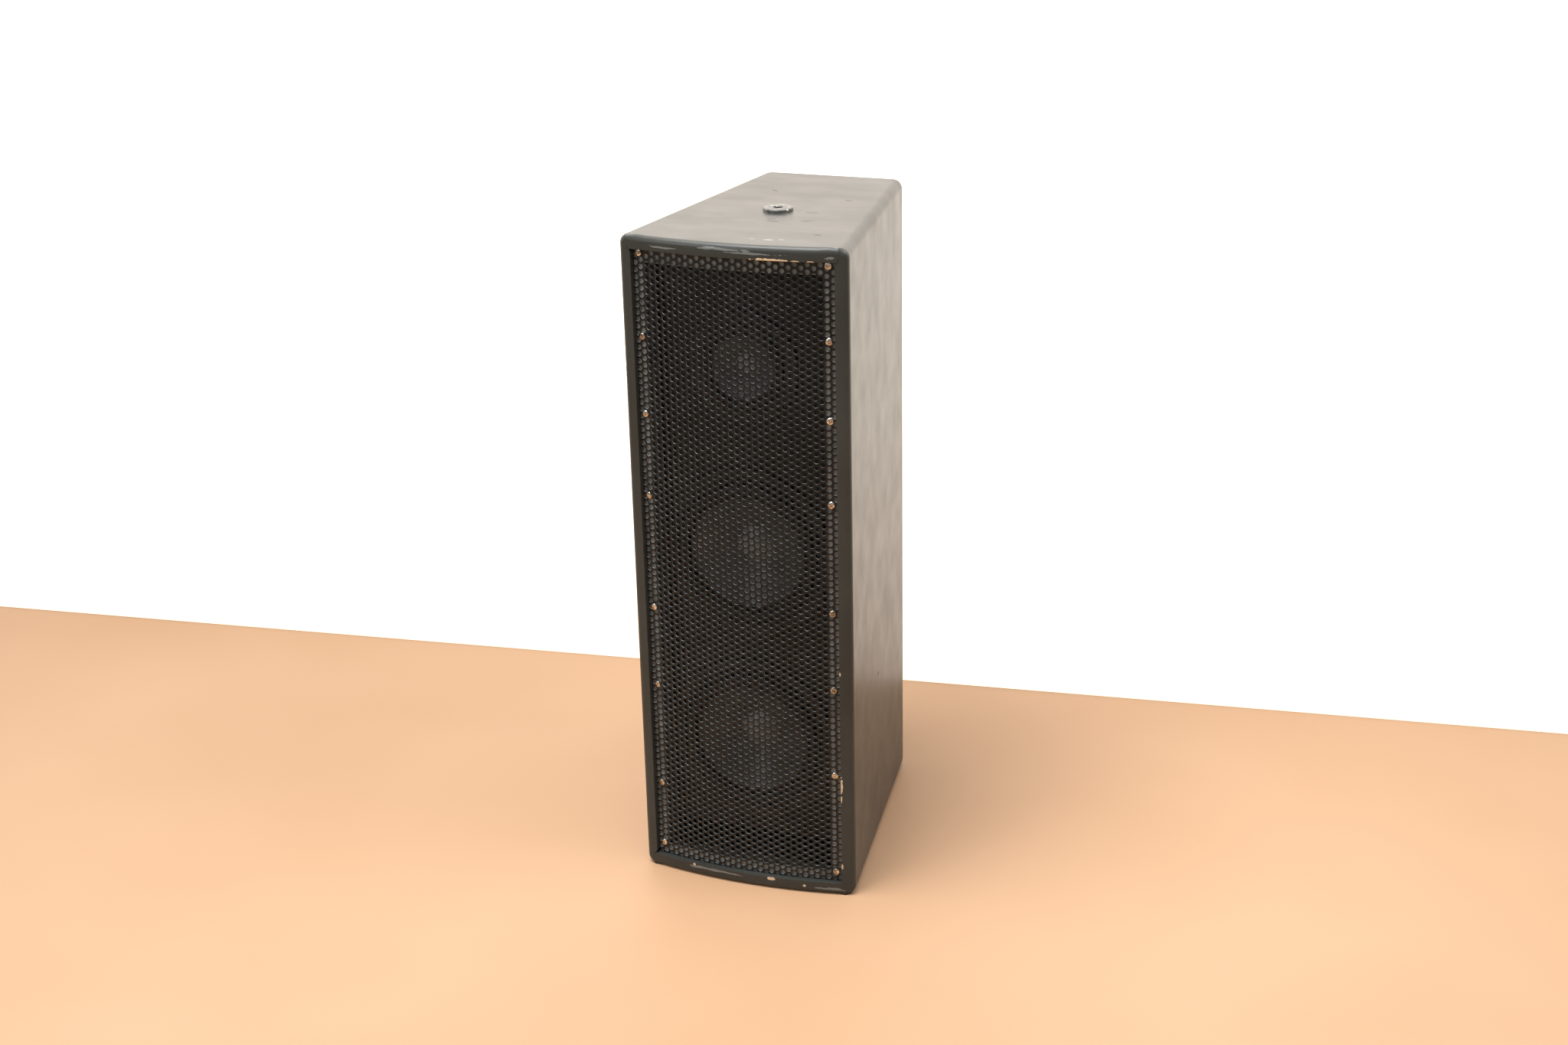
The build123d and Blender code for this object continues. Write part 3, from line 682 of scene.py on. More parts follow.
# %% One hole in its hexagon
pitch = 6.35 * MM
hole = 2.38 * MM
sheet = 1.2 * MM
grille_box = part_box("grille")
grille_front = grille_box[0].y
grille_radius = bow_centre - grille_front
grille_half = grille_box[1].x
arc_half = grille_radius * math.asin(grille_half / grille_radius)
column = pitch * math.cos(math.radians(30))
hexagon_radius = pitch / math.sqrt(3)
upright = (math.pi / 2, math.radians(30), 0)
bpy.ops.mesh.primitive_circle_add(vertices=6, radius=hexagon_radius, fill_type="NGON", rotation=upright)
perforated = added("perforated_sheet")
bpy.ops.object.transform_apply(rotation=True)
edit(perforated)
bpy.ops.mesh.subdivide(number_cuts=1)
pick("FACE", lambda f: True)
bpy.ops.mesh.inset(thickness=0.3 * MM)
bpy.ops.transform.tosphere(value=1)
reach = max(v.co.length for v in bmesh.from_edit_mesh(perforated.data).verts if v.select)
bpy.ops.transform.resize(value=(hole / reach,) * 3)
bpy.ops.mesh.delete(type="FACE")
done()
print("cell is", [round(v / pitch, 3) for v in perforated.dimensions], "pitches")

# %% [markdown]
# Array modifiers spread the cell: first to a pair, half a pitch apart in height, then along the row and
# up the sheet. The sheet is trimmed to its outline, which cuts through the holes at its edges as a
# guillotine does. A Simple Deform modifier then rolls it to the cabinet's bow.

# %% Spread, trim and bow the sheet
columns = 2 * math.ceil(arc_half / column / 2) + 1
low = grille_box[0].z
high = grille_box[1].z
rows = math.ceil((high - low) / pitch) + 2


def repeat(piece, count, offset):
    array = piece.modifiers.new("array", "ARRAY")
    array.count = count
    array.use_relative_offset = False
    array.use_constant_offset = True
    array.constant_offset_displace = offset
    array.use_merge_vertices = True
    array.merge_threshold = weld
    only(piece)
    bpy.ops.object.modifier_apply(modifier=array.name)


def trim(piece, point, normal):
    """Cuts everything off on the far side of a plane."""
    edit(piece)
    bpy.ops.mesh.bisect(plane_co=point, plane_no=normal, clear_outer=True)
    done()


repeat(perforated, 2, (column, 0, pitch / 2))
repeat(perforated, columns, (2 * column, 0, 0))
repeat(perforated, rows, (0, 0, pitch))
perforated.location = (-(columns - 0.5) * column, 0, low - pitch)
bpy.ops.object.transform_apply(location=True)
for side in (-1, 1):
    trim(perforated, (side * arc_half, 0, 0), (side, 0, 0))
trim(perforated, (0, 0, low), (0, 0, -1))
trim(perforated, (0, 0, high), (0, 0, 1))
for side in (-1, 1):
    for end, z in ((-1, low), (1, high)):
        middle = Vector((side * (arc_half - opening_corner), 0, z - end * opening_corner))
        for degrees in (22.5, 45, 67.5):
            tilt = math.radians(degrees)
            out = Vector((side * math.cos(tilt), 0, end * math.sin(tilt)))
            trim(perforated, middle + out * opening_corner, out)

rolled = perforated.modifiers.new("roll", "SIMPLE_DEFORM")
rolled.deform_method = "BEND"
rolled.deform_axis = "Z"
rolled.angle = 2 * arc_half / grille_radius
apply_all(perforated)
print("rolled sheet is", [round(v, 4) for v in perforated.dimensions])
perforated.location = (0, grille_front, 0)
apply_all(perforated)

# %% [markdown]
# A sheet with thousands of holes is heavy, so it is kept as two pieces that meet in a line across the
# middle, where their edges fit exactly. Solidify gives each its thickness, and it can hand its rim, the
# walls of the holes, to the second material in the list, which is the pale grey painted highlight.

# %% Two halves of the grille
middle_z = (low + high) / 2
for name, away in (("grille_lower", 1), ("grille_upper", -1)):
    half = placed_copy(perforated, name, Matrix.Identity(4))
    trim(half, (0, 0, middle_z), (0, 0, away))
    half.data.materials.append(steel)
    # The walls of the holes take the painted highlight.
    half.data.materials.append(hole_wall_highlight)
    thick = half.modifiers.new("thickness", "SOLIDIFY")
    thick.thickness = sheet
    thick.offset = -1
    thick.material_offset_rim = 1
    apply_all(half)
    smooth(half, 40)
    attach(half, "cabinet")
    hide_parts("grille")
    print(name, len(half.data.polygons), "faces", [round(c, 4) for c in half.bound_box[0]])
bpy.data.objects.remove(perforated)

# %% [markdown]
# Screws are the detail that sells the scale. One pan head is turned from an outline, its cross recess
# is cut with two crossed blades, and it is copied to every place where the CAD model has a screw. The
# places come from the CAD nodes: each group of screws is one node, so its separate solids are found
# first. Turning is done by Spin: the outline is drawn point by point by extruding one vertex, and it is
# spun about Z and closed. Its normals are recalculated, because Spin can leave a shape inside out.

# %% Turned pieces
def turned(name, outline, steps=48, turn=360.0):
    """Spins an outline of (radius, height) points about Z. A part turn is capped at both ends."""
    bpy.ops.mesh.primitive_plane_add(size=MM)
    piece = added(name)
    edit(piece)
    bpy.ops.mesh.merge(type="CENTER")
    bpy.ops.transform.translate(value=(outline[0][0], 0, outline[0][1]))
    for before, after in zip(outline, outline[1:]):
        move = (after[0] - before[0], 0, after[1] - before[1])
        bpy.ops.mesh.extrude_vertices_move(TRANSFORM_OT_translate={"value": move})
    bpy.ops.mesh.select_all(action="SELECT")
    bpy.ops.mesh.edge_face_add()
    bpy.ops.mesh.delete(type="ONLY_FACE")
    bpy.ops.mesh.select_all(action="SELECT")
    bpy.ops.mesh.spin(steps=steps, angle=math.radians(turn), center=(0, 0, 0), axis=(0, 0, 1))
    bpy.ops.mesh.select_all(action="SELECT")
    bpy.ops.mesh.remove_doubles(threshold=weld)
    if turn < 360:
        bpy.ops.mesh.fill_holes(sides=0)
    bpy.ops.mesh.select_all(action="SELECT")
    bpy.ops.mesh.normals_make_consistent(inside=False)
    done()
    return piece


def arc(middle, radius, start, end, count):
    """Points of an arc in an outline, by angles in degrees."""
    turns = [math.radians(start + (end - start) * step / count) for step in range(count + 1)]
    return [(middle[0] + radius * math.cos(t), middle[1] + radius * math.sin(t)) for t in turns]


def islands(name):
    """The separate solids of a CAD node, each as a list of points."""
    mesh = bmesh.new()
    mesh.from_mesh(nodes[name].data)
    bmesh.ops.remove_doubles(mesh, verts=mesh.verts, dist=weld)
    seen = set()
    found = []
    for start in mesh.verts:
        if start in seen:
            continue
        seen.add(start)
        group = [start]
        for v in group:
            for e in v.link_edges:
                other = e.other_vert(v)
                if other not in seen:
                    seen.add(other)
                    group.append(other)
        found.append([v.co.copy() for v in group])
    mesh.free()
    return found


print("grille screws in the CAD model", len(islands("grille_screws")))

# %% [markdown]
# Metals differ in colour, in gloss and in how coarse their patches are. The grille's screws are brassed
# and rubbed bright, the other screws are blackened, and the contacts are gilt. One recipe makes them
# all, with the gloss varying by a share of its middle value.

# %% Metals
def glossed(material, roughness, scale, spread):
    """Feeds the shader a roughness that varies by a share of its middle value."""
    shades = [(0.3, roughness * (1 - spread)), (0.7, roughness * (1 + spread))]
    feed(material, ramp(material, noise(material, scale, 3), shades), "Roughness")


def metal(name, dark, light, roughness, scale, grain, strength=0.15):
    """A metal with a mottled colour, uneven gloss and a fine grain."""
    material = new_material(name, light, roughness, metallic=1.0)
    mottled(material, scale, 4, dark, light)
    glossed(material, roughness, scale * 3, 0.3)
    bump(material, noise(material, grain, 2), strength, 0.0001)
    return material


worn_brass = metal("worn_brass", (0.26, 0.20, 0.15), (0.88, 0.78, 0.66), 0.24, 220, 3000)
screw_steel = metal("screw_steel", (0.035, 0.034, 0.032), (0.16, 0.155, 0.15), 0.38, 120, 2500)
contact_metal = metal("contact_metal", (0.52, 0.40, 0.20), (0.80, 0.64, 0.34), 0.22, 150, 3000, 0.08)
motor_steel = metal("motor_steel", (0.34, 0.33, 0.30), (0.56, 0.55, 0.50), 0.32, 40, 1500)
print("metals", [m.name for m in (worn_brass, screw_steel, contact_metal, motor_steel)])

# %% [markdown]
# The master screw lies at the origin and points along Z. For each solid of the CAD node, the head's
# seat is found from how far the solid reaches outwards, and the copy is turned by a random part of a
# quarter turn, because nobody lines up the recesses. Such small differences keep a row from looking
# stamped.

# %% One pan head
def pan_head(name, radius, tall, shank, length):
    """A screw that points along +Z, with the underside of its head at the origin."""
    crown = 0.45 * tall
    outline = [(0, -length), (shank * 0.7, -length), (shank, -length + shank), (shank, 0)]
    outline += [(radius, 0), (radius, tall - crown)]
    outline += [(radius * math.cos(t), tall - crown + crown * math.sin(t)) for t in (0.35, 0.7, 1.1)]
    screw = turned(name, outline + [(0, tall)], steps=20)
    for spin in (0, math.pi / 2):
        blade = block("blade", (0, 0, tall), (radius * 1.15, radius * 0.3, tall * 1.1))
        blade.data.transform(Matrix.Rotation(spin, 4, "Z"))
        cut(screw, blade)
    return smooth(screw, 35)


def screws_for(node, master, outward_of, material, slot):
    """A copy of the master at every solid of a CAD node. outward_of gives the way a screw points."""
    for number, points in enumerate(islands(node), 1):
        middle = sum(points, Vector()) / len(points)
        out = outward_of(middle)
        reach = max(p.dot(out) for p in points) - head_tall[node]
        shank_points = [p - out * p.dot(out) for p in points]
        axis = sum(shank_points, Vector()) / len(points)
        spin = Matrix.Rotation(random.uniform(0, math.pi / 2), 4, "Z")
        aim = out.to_track_quat("Z", "Y").to_matrix().to_4x4()
        place = Matrix.Translation(axis + out * reach) @ aim @ spin
        screw = placed_copy(master, f"{node}_{number:02d}", place)
        settle(screw, "cabinet", material, slot, node)
    bpy.data.objects.remove(master)
    return number


random.seed(11)
head_tall = {
    "grille_screws": 1.6 * MM,
    "input_plate_screws": 1.8 * MM,
    "socket_screws": 1.4 * MM,
    "woofer_screws": 2.0 * MM,
    "treble_screws": 2.0 * MM,
}


def from_bow(point):
    """Square to the bowed front at a point."""
    return Vector((point.x, point.y - bow_centre, 0)).normalized()


def backwards(point):
    return Vector((0, 1, 0))


def forwards(point):
    return Vector((0, -1, 0))


# Each row is the node, the radius of the head, the radius and length of the shank, the way the screw
# points, its metal and its slot.
for node, radius, shank, length, outward_of, material, slot in (
    ("grille_screws", 3.2, 1.7, 12, from_bow, worn_brass, "worn_brass"),
    ("input_plate_screws", 3.4, 1.7, 7.5, backwards, screw_steel, "screw_steel"),
    ("socket_screws", 2.6, 1.4, 3.5, backwards, screw_steel, "screw_steel"),
    ("woofer_screws", 3.4, 1.8, 13.5, forwards, screw_steel, "screw_steel"),
    ("treble_screws", 3.4, 1.8, 13.5, forwards, screw_steel, "screw_steel"),
):
    master = pan_head("pan", radius * MM, head_tall[node], shank * MM, length * MM)
    print(node, screws_for(node, master, outward_of, material, slot))

# %% [markdown]
# The rigging inserts are turned steel with an M10 thread. Their flanges were painted over with the
# cabinet and have since worn through in patches. The mask that picks steel or paint for the colour is
# fed to Metallic as well, so the bare patches shine as metal. The thread is a zigzag in the outline; a
# true helix would cost far more faces and nobody could tell them apart down the bore.

# %% Rigging inserts
thread = 1.5 * MM
thread_depth = 0.7 * MM
bore = 4.25 * MM
flange_height = 3 * MM
rounding = 1 * MM
lead_in = 0.8 * MM
slack = 0.05 * MM


def insert_finish():
    """Paint that has worn through to the steel in patches."""
    coat = (0.06, 0.06, 0.055)
    bare_steel = (0.50, 0.46, 0.40)
    material = new_material("insert_metal", coat, 0.38)
    worn = noise(material, 260, 5)
    mask = ramp(material, worn, [(0.60, 0.0), (0.68, 1.0)])
    feed(material, mixed(material, mask, coat, bare_steel), "Base Color")
    feed(material, mask, "Metallic")
    feed(material, ramp(material, worn, [(0.3, 0.45), (0.7, 0.3)]), "Roughness")
    bump(material, noise(material, 1500, 2), 0.15, 0.0001)
    return material


painted_insert = insert_finish()


def insert(name, tail, matrix, node):
    """A flanged insert with its seat at the origin, its flange towards +Z."""
    edge = arc((flange - rounding, flange_height - rounding), rounding, 0, 90, 3)
    outline = [(barrel - slack, -tail), (barrel - slack, 0), (flange, 0)] + edge
    outline += [(bore + lead_in, flange_height), (bore, flange_height - lead_in)]
    turns = int((tail + flange_height - 2 * MM) / thread)
    for turn in range(turns):
        top = flange_height - 1.2 * MM - turn * thread
        outline += [(bore, top), (bore + thread_depth, top - thread / 2)]
    outline += [(bore, -tail)]
    piece = smooth(turned(name, outline, steps=40), 30)
    piece.data.transform(matrix)
    settle(piece, "cabinet", painted_insert, "insert_metal", node)
    print(name, "has", turns, "turns of thread")


down = Matrix.Rotation(math.pi, 4, "X")
to_back = Matrix.Rotation(-math.pi / 2, 4, "X")
on_top_panel = Matrix.Translation((0, insert_y, height))
in_bottom_panel = Matrix.Translation((0, insert_y, seat)) @ down
in_back_panel = Matrix.Translation((0, back - seat, back_insert_z)) @ to_back
insert("top_insert_ring", board + 4 * MM, on_top_panel, "top_insert")
insert("bottom_insert_ring", board, in_bottom_panel, "bottom_insert")
insert("back_insert_ring", board, in_back_panel, "back_insert")

# %% [markdown]
# The input plate is sprayed aluminium with two locking sockets in moulded plastic. Paint and plastic
# are alike in what shows: a colour and a gloss that are nearly even, and a pebbled surface. So one
# recipe serves both, and the rubber, the baskets and the crossover's parts after them.

# %% Plate and socket finishes
def sprayed(name, dark, light, roughness, grain, strength):
    """A painted or moulded finish: uneven colour and gloss, and a pebbled surface."""
    material = new_material(name, light, roughness)
    mottled(material, 25, 4, dark, light)
    glossed(material, roughness, 70, 0.15)
    bump(material, noise(material, grain, 2), strength, 0.0002)
    return material


plate_paint = sprayed("plate_paint", (0.018, 0.018, 0.019), (0.028, 0.028, 0.029), 0.42, 1300, 0.35)
plastic_shades = ((0.012, 0.012, 0.013), (0.018, 0.018, 0.019))
socket_plastic = sprayed("socket_plastic", *plastic_shades, 0.33, 1900, 0.15)


def eased(piece, width=0.3 * MM):
    """Breaks the sharp edges of a piece."""
    bevel = piece.modifiers.new("ease", "BEVEL")
    bevel.width = width
    bevel.segments = 2
    bevel.limit_method = "ANGLE"
    bevel.angle_limit = math.radians(40)
    apply_all(piece)
    return flat_faced(piece, 40)


print("plate and socket finishes", plate_paint.name, socket_plastic.name)

# %% [markdown]
# The plate is a block with round corners, cut through for the tubes of the sockets and for its screws.
# No edge on a real thing is perfectly sharp, and a thin bevel that catches the light is what makes a
# small part look made, so every block gets one.

# %% Input plate
plate = block("input_plate_cover", plate_middle, plate_size, 5.5 * MM)
sockets = {name: sum(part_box(name), Vector()) / 2 for name in ("input_socket", "link_socket")}
socket_tube = 15.5 * MM
tube_hole = socket_tube + 0.1 * MM
right_through = 4 * plate_size.y
for middle in sockets.values():
    cut(plate, rod("cutter", (0, plate_middle.y, middle.z), tube_hole, right_through, "Y"))
for points in islands("input_plate_screws"):
    place = sum(points, Vector()) / len(points)
    cut(plate, rod("cutter", (place.x, plate_middle.y, place.z), 2 * MM, right_through, "Y", 24))
settle(eased(plate), "cabinet", plate_paint, "plate_paint", "input_plate")
print("input plate faces", len(plate.data.polygons))

# %% [markdown]
# A socket is a square flange with a tube behind it, a ring-shaped well for the plug, a core with
# contacts, and two keyways in the wall of the well, one wider than the other, so that the plug only
# goes in one way up. The flange and tube are joined by a union, and the rest is cut out of them.

# %% Locking sockets
well = 13.25 * MM
core = 6.75 * MM
socket_floor = 3 * MM
key_widths = (5 * MM, 3.4 * MM)
key_depth = 16 * MM
key_height = 2.6 * MM
fixing = 14 * MM


def socket_body(name):
    """Flange, tube, well and keyways, in place."""
    low_corner, high_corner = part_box(name)
    middle = (low_corner + high_corner) / 2
    size = high_corner - low_corner
    face = high_corner.y
    flange_depth = face - plate_box[1].y
    flange_middle = (middle.x, face - flange_depth / 2, middle.z)
    body = block("flange", flange_middle, (size.x, flange_depth, size.z), 4 * MM)
    tube_middle = (middle.x, middle.y - 0.1 * MM, middle.z)
    tube = rod("tube", tube_middle, socket_tube, size.y - 0.2 * MM, "Y", 64)
    join = body.modifiers.new("join", "BOOLEAN")
    join.operation = "UNION"
    join.solver = "EXACT"
    join.object = tube
    only(body)
    bpy.ops.object.modifier_apply(modifier=join.name)
    bpy.data.objects.remove(tube)
    depth = size.y - socket_floor
    outline = [(core, -depth), (well, -depth), (well, 2 * MM), (core, 2 * MM)]
    cutter = turned("cutter", outline, 64)
    cutter.data.transform(Matrix.Translation((middle.x, face, middle.z)) @ to_back)
    cut(body, cutter)
    for side, width in zip((1, -1), key_widths):
        reach = (well + 0.5 * MM) * side
        key_middle = (middle.x, face - 6 * MM, middle.z + reach)
        cut(body, block("cutter", key_middle, (width, key_depth, key_height), 0.5 * MM))
    cut(body, rod("cutter", (middle.x, face, middle.z), 2.2 * MM, 8 * MM, "Y", 24))
    for across in (-1, 1):
        for up in (-1, 1):
            screw_hole = (middle.x + across * fixing, face, middle.z + up * fixing)
            cut(body, rod("cutter", screw_hole, 1.5 * MM, 4 * flange_depth, "Y", 16))
    return body


for name in sockets:
    body = socket_body(name)
    body.name = body.data.name = f"{name}_body"
    settle(eased(body, 0.35 * MM), "cabinet", socket_plastic, "socket_plastic", name)
    print(body.name, "faces", len(body.data.polygons))

# %% [markdown]
# The drivers sit behind the grille. Their cones are pressed paper, whose fibres roughen the surface,
# and their caps are paler, so they are the first thing to show through the holes. The rolls are rubber
# and the spiders are varnished cloth.

# %% Driver finishes
def paper(name, dark, light, roughness):
    """Pressed pulp: cloudy, with short fibres in the surface."""
    material = new_material(name, light, roughness)
    mottled(material, 55, 5, dark, light)
    fibre = noise(material, 900, 4, (1, 1, 0.25))
    bump(material, fibre, 0.4, 0.0002)
    return material


cone_paper = paper("cone_paper", (0.075, 0.077, 0.078), (0.12, 0.122, 0.12), 0.34)
cap_paper = paper("cap_paper", (0.16, 0.168, 0.17), (0.28, 0.29, 0.295), 0.28)
gasket_paper = paper("gasket_paper", (0.020, 0.019, 0.018), (0.035, 0.033, 0.030), 0.8)
rubber = sprayed("surround_rubber", (0.010, 0.010, 0.010), (0.017, 0.017, 0.017), 0.5, 700, 0.15)
frame_paint = sprayed("frame_paint", (0.014, 0.014, 0.015), (0.022, 0.022, 0.023), 0.45, 900, 0.4)
spider_cloth = paper("spider_cloth", (0.30, 0.19, 0.08), (0.46, 0.31, 0.15), 0.85)
print("papers", [m.name for m in (cone_paper, cap_paper, gasket_paper, spider_cloth)])

# %% [markdown]
# Two bass drivers and a treble driver share one set of recipes. Their sizes are read off the CAD nodes,
# so the new cones and rolls sit in the same baskets. Depths run along Y, and larger is further back.

# %% Driver sizes
skin = 0.8 * MM
drivers = {}
for name in ("lower_woofer", "upper_woofer", "treble"):
    cone_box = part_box(f"{name}_cone")
    cap_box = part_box(f"{name}_dust_cap")
    spider_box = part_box(f"{name}_spider")
    surround_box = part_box(f"{name}_surround")
    drivers[name] = {
        "centre": (cone_box[0].z + cone_box[1].z) / 2,
        "lip": cone_box[0].y,
        "neck": cone_box[1].y - 0.6 * MM,
        "inner": cone_box[1].x,
        "outer": surround_box[1].x - 2.5 * MM,
        "face": surround_box[1].y,
        "coil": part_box(f"{name}_voice_coil")[1].x - 1 * MM,
        "cap": cap_box[1].x,
        "cap_front": cap_box[0].y,
        "cap_rim": cap_box[1].y,
        "spider": spider_box[1].x,
        "spider_middle": (spider_box[0].y + spider_box[1].y) / 2,
        "sectors": 16 if name != "treble" else 12,
    }
    span = [round(drivers[name][key], 4) for key in ("inner", "outer")]
    print(name, "roll runs between the radii", span)

facing = Matrix.Rotation(math.pi / 2, 4, "X")

# %% [markdown]
# A cone is turned in one go, front and back in one closed outline, with a flat lip that the roll is
# glued to and three shallow rings that stiffen it. The cap is a slice of a thin ball. Both are turned
# about Z and then laid down to face forwards. They slide together with the coil, so they ride on the
# driver's moving body.

# %% Cones and dust caps
lip_width = 3.2 * MM
cone_steps = 24
ring_places = (0.25, 0.45, 0.65)
ring_spread = 0.042
ring_height = 0.5 * MM


def make_cone(name, size):
    """Front and back of the cone in one outline. Each ring is a small ridge on the slope."""
    rim = size["inner"] - lip_width
    neck = size["coil"] + 0.1 * MM
    slope_depth = size["neck"] - skin - size["lip"]
    front = []
    for step in range(cone_steps + 1):
        t = step / cone_steps
        ridge = sum(max(0.0, 1 - abs(t - place) / ring_spread) for place in ring_places)
        depth = size["lip"] + slope_depth * t - ring_height * ridge
        front.append((rim + (neck - rim) * t, -depth))
    outline = [(size["inner"], -size["lip"])] + front
    outline += [(neck, -size["neck"] - 0.6 * MM), (rim + 0.6 * MM, -size["lip"] - skin - 0.3 * MM)]
    outline += [(size["inner"], -size["lip"] - skin)]
    cone = turned(f"{name}_cone_paper", outline, 72)
    cone.data.transform(Matrix.Translation((0, 0, size["centre"])) @ facing)
    settle(smooth(cone, 50), f"{name}_diaphragm", cone_paper, "cone_paper", f"{name}_cone")


def make_cap(name, size):
    """A slice of a thin ball, as wide and as high as the cap in the CAD model."""
    rise = size["cap_rim"] - size["cap_front"]
    ball = (size["cap"] ** 2 + rise**2) / (2 * rise)
    half_angle = math.degrees(math.asin(size["cap"] / ball))
    ball_middle = (0, -size["cap_front"] - ball)
    outline = arc(ball_middle, ball, 90, 90 - half_angle, 10)
    outline += arc(ball_middle, ball - skin, 90 - half_angle, 90, 10)
    cap = turned(f"{name}_cap_paper", outline, 48)
    cap.data.transform(Matrix.Translation((0, 0, size["centre"])) @ facing)
    settle(smooth(cap, 50), f"{name}_diaphragm", cap_paper, "cap_paper", f"{name}_dust_cap")


for name, size in drivers.items():
    make_cone(name, size)
    make_cap(name, size)
print("cones and caps", 2 * len(drivers))

# %% [markdown]
# The roll of rubber round the cone and the corrugated cloth spider behind it are fixed at their outer
# edge and travel with the cone at their inner edge. Each is made as sectors, like slices of a cake.


def flexible_ring(name, outline, size, sectors, material, node):
    """A ring of sectors, each its own copy of one turned sector, placed round the driver."""
    share = 360 / sectors
    master = smooth(turned(name, outline, max(2, 64 // sectors), share), 50)
    for number in range(sectors):
        spin = Matrix.Rotation(math.radians(share * number), 4, "Z")
        place = Matrix.Translation((0, 0, size["centre"])) @ facing @ spin
        sector = placed_copy(master, f"{name}_{number + 1:02d}", place)
        sector.data.materials.clear()
        sector.data.materials.append(material)
        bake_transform(sector)
        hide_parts(node)
    bpy.data.objects.remove(master)
    print(name, "has", sectors, "sectors")


# %% [markdown]
# A roll is a half round of thin rubber with a flat to glue down at either side: two arcs, one inside the
# other, make its outline.

# %% Rubber rolls
inner_glue = 3 * MM
outer_glue = 2.5 * MM


def make_roll(name, size):
    """The roll of one driver, in sectors."""
    face = -size["face"]
    inner = size["inner"]
    outer = size["outer"]
    middle = (inner + outer) / 2
    half = (outer - inner) / 2
    outline = [(inner - inner_glue, face), (inner - inner_glue, face + skin)]
    outline += arc((middle, face + skin), half, 180, 0, 10)
    outline += [(outer + outer_glue, face + skin), (outer + outer_glue, face)]
    outline += arc((middle, face), half - skin, 0, 180, 10)
    flexible_ring(
        f"{name}_roll", outline, size, size["sectors"],
        rubber, f"{name}_surround",
    )


print("rolls are", round(skin, 4), "thick")

# %% [markdown]
# A spider is cloth pressed into rings of small waves, which let it flex in and out but not sideways. Its
# outline is a sine wave with half the cloth's thickness on either side.

# %% Cloth spiders
half_cloth = 0.35 * MM
wave_height = 0.9 * MM
wave_steps = 24
spider_sectors = 8


def make_spider(name, size):
    """The spider of one driver, in sectors."""
    start = size["coil"] + 0.1 * MM
    wave = (size["spider"] - 6 * MM - start) / wave_steps
    crests = [(start, 0)]
    for k in range(wave_steps + 1):
        crests.append((start + 2 * MM + wave * k, wave_height * math.sin(k * math.pi / 4)))
    crests.append((size["spider"], 0))
    level = -size["spider_middle"]
    outline = [(r, level + h + half_cloth) for r, h in crests]
    outline += [(r, level + h - half_cloth) for r, h in crests[::-1]]
    flexible_ring(
        f"{name}_corrugation", outline, size, spider_sectors,
        spider_cloth, f"{name}_spider",
    )


for name, size in drivers.items():
    make_roll(name, size)
    make_spider(name, size)

# %% [markdown]
# Pads of acoustic foam line the sides. Each is cut a little unevenly, so its faces are subdivided and
# pushed about by a fraction of a millimetre, and its edges are rounded.

# %% Damping foam
def foam_finish():
    """Open-cell foam: pale flecks between dark pores."""
    material = new_material("foam", (0.05, 0.05, 0.052), 0.95, specular=0.1)
    cells = mottled(material, 1400, 4, (0.016, 0.016, 0.017), (0.085, 0.085, 0.088))
    bump(material, cells, 0.8, 0.0006)
    return material


foam = foam_finish()
tilt = math.atan(slope)
foam_thickness = 10 * MM
for number, points in enumerate(islands("damping_foam"), 1):
    lows = Vector([min(p[axis] for p in points) for axis in range(3)])
    highs = Vector([max(p[axis] for p in points) for axis in range(3)])
    middle = (lows + highs) / 2
    side = 1 if middle.x > 0 else -1
    length = (highs.y - lows.y) / math.cos(tilt) - 2 * MM
    size = (foam_thickness - 1.2 * MM, length, highs.z - lows.z - 1.5 * MM)
    bpy.ops.mesh.primitive_cube_add(size=1)
    pad = added(f"foam_pad_{number}")
    pad.scale = size
    bpy.ops.object.transform_apply(scale=True)
    edit(pad)
    bpy.ops.mesh.bevel(offset=2 * MM, segments=3, profile=0.6)
    bpy.ops.mesh.select_all(action="SELECT")
    bpy.ops.mesh.subdivide(number_cuts=5)
    bpy.ops.transform.vertex_random(offset=0.4 * MM, seed=number)
    done()
    pad.rotation_euler.z = side * tilt
    pad.location = middle
    apply_all(pad)
    settle(smooth(pad, 60), "cabinet", foam, "foam", "damping_foam")
print("foam pads", number)

# %% [markdown]
# What is left of the CAD model keeps its shape and gets its finish: the boards inside, the baskets and
# motors of the drivers, and the crossover.

# %% Finishes inside
def plywood():
    """Bare birch plywood, with its grain running from front to back."""
    material = new_material("raw_board", (0.62, 0.44, 0.26), 0.65)
    grain = noise(material, 90, 5, (1, 0.08, 1))
    shades = [(0.35, (0.46, 0.30, 0.16)), (0.65, (0.70, 0.52, 0.32))]
    feed(material, ramp(material, grain, shades), "Base Color")
    bump(material, grain, 0.3, 0.0002)
    return material


def board_paint(name, dark, light):
    """Board under a thin coat, with the grain still in it and dust on it."""
    material = new_material(name, light, 0.6)
    mottled(material, 45, 5, dark, light, high=0.7)
    bump(material, noise(material, 130, 5, (1, 1, 0.1)), 0.3, 0.0003)
    return material


def windings():
    """Copper wire wound side by side: fine ridges round the coil."""
    material = new_material("copper_wire", (0.80, 0.36, 0.16), 0.3, metallic=0.9)
    turns = noise(material, 1100, 1, (0.02, 1, 0.02))
    shades = [(0.35, (0.48, 0.17, 0.06)), (0.65, (0.86, 0.42, 0.20))]
    feed(material, ramp(material, turns, shades), "Base Color")
    bump(material, turns, 0.6, 0.0003)
    return material


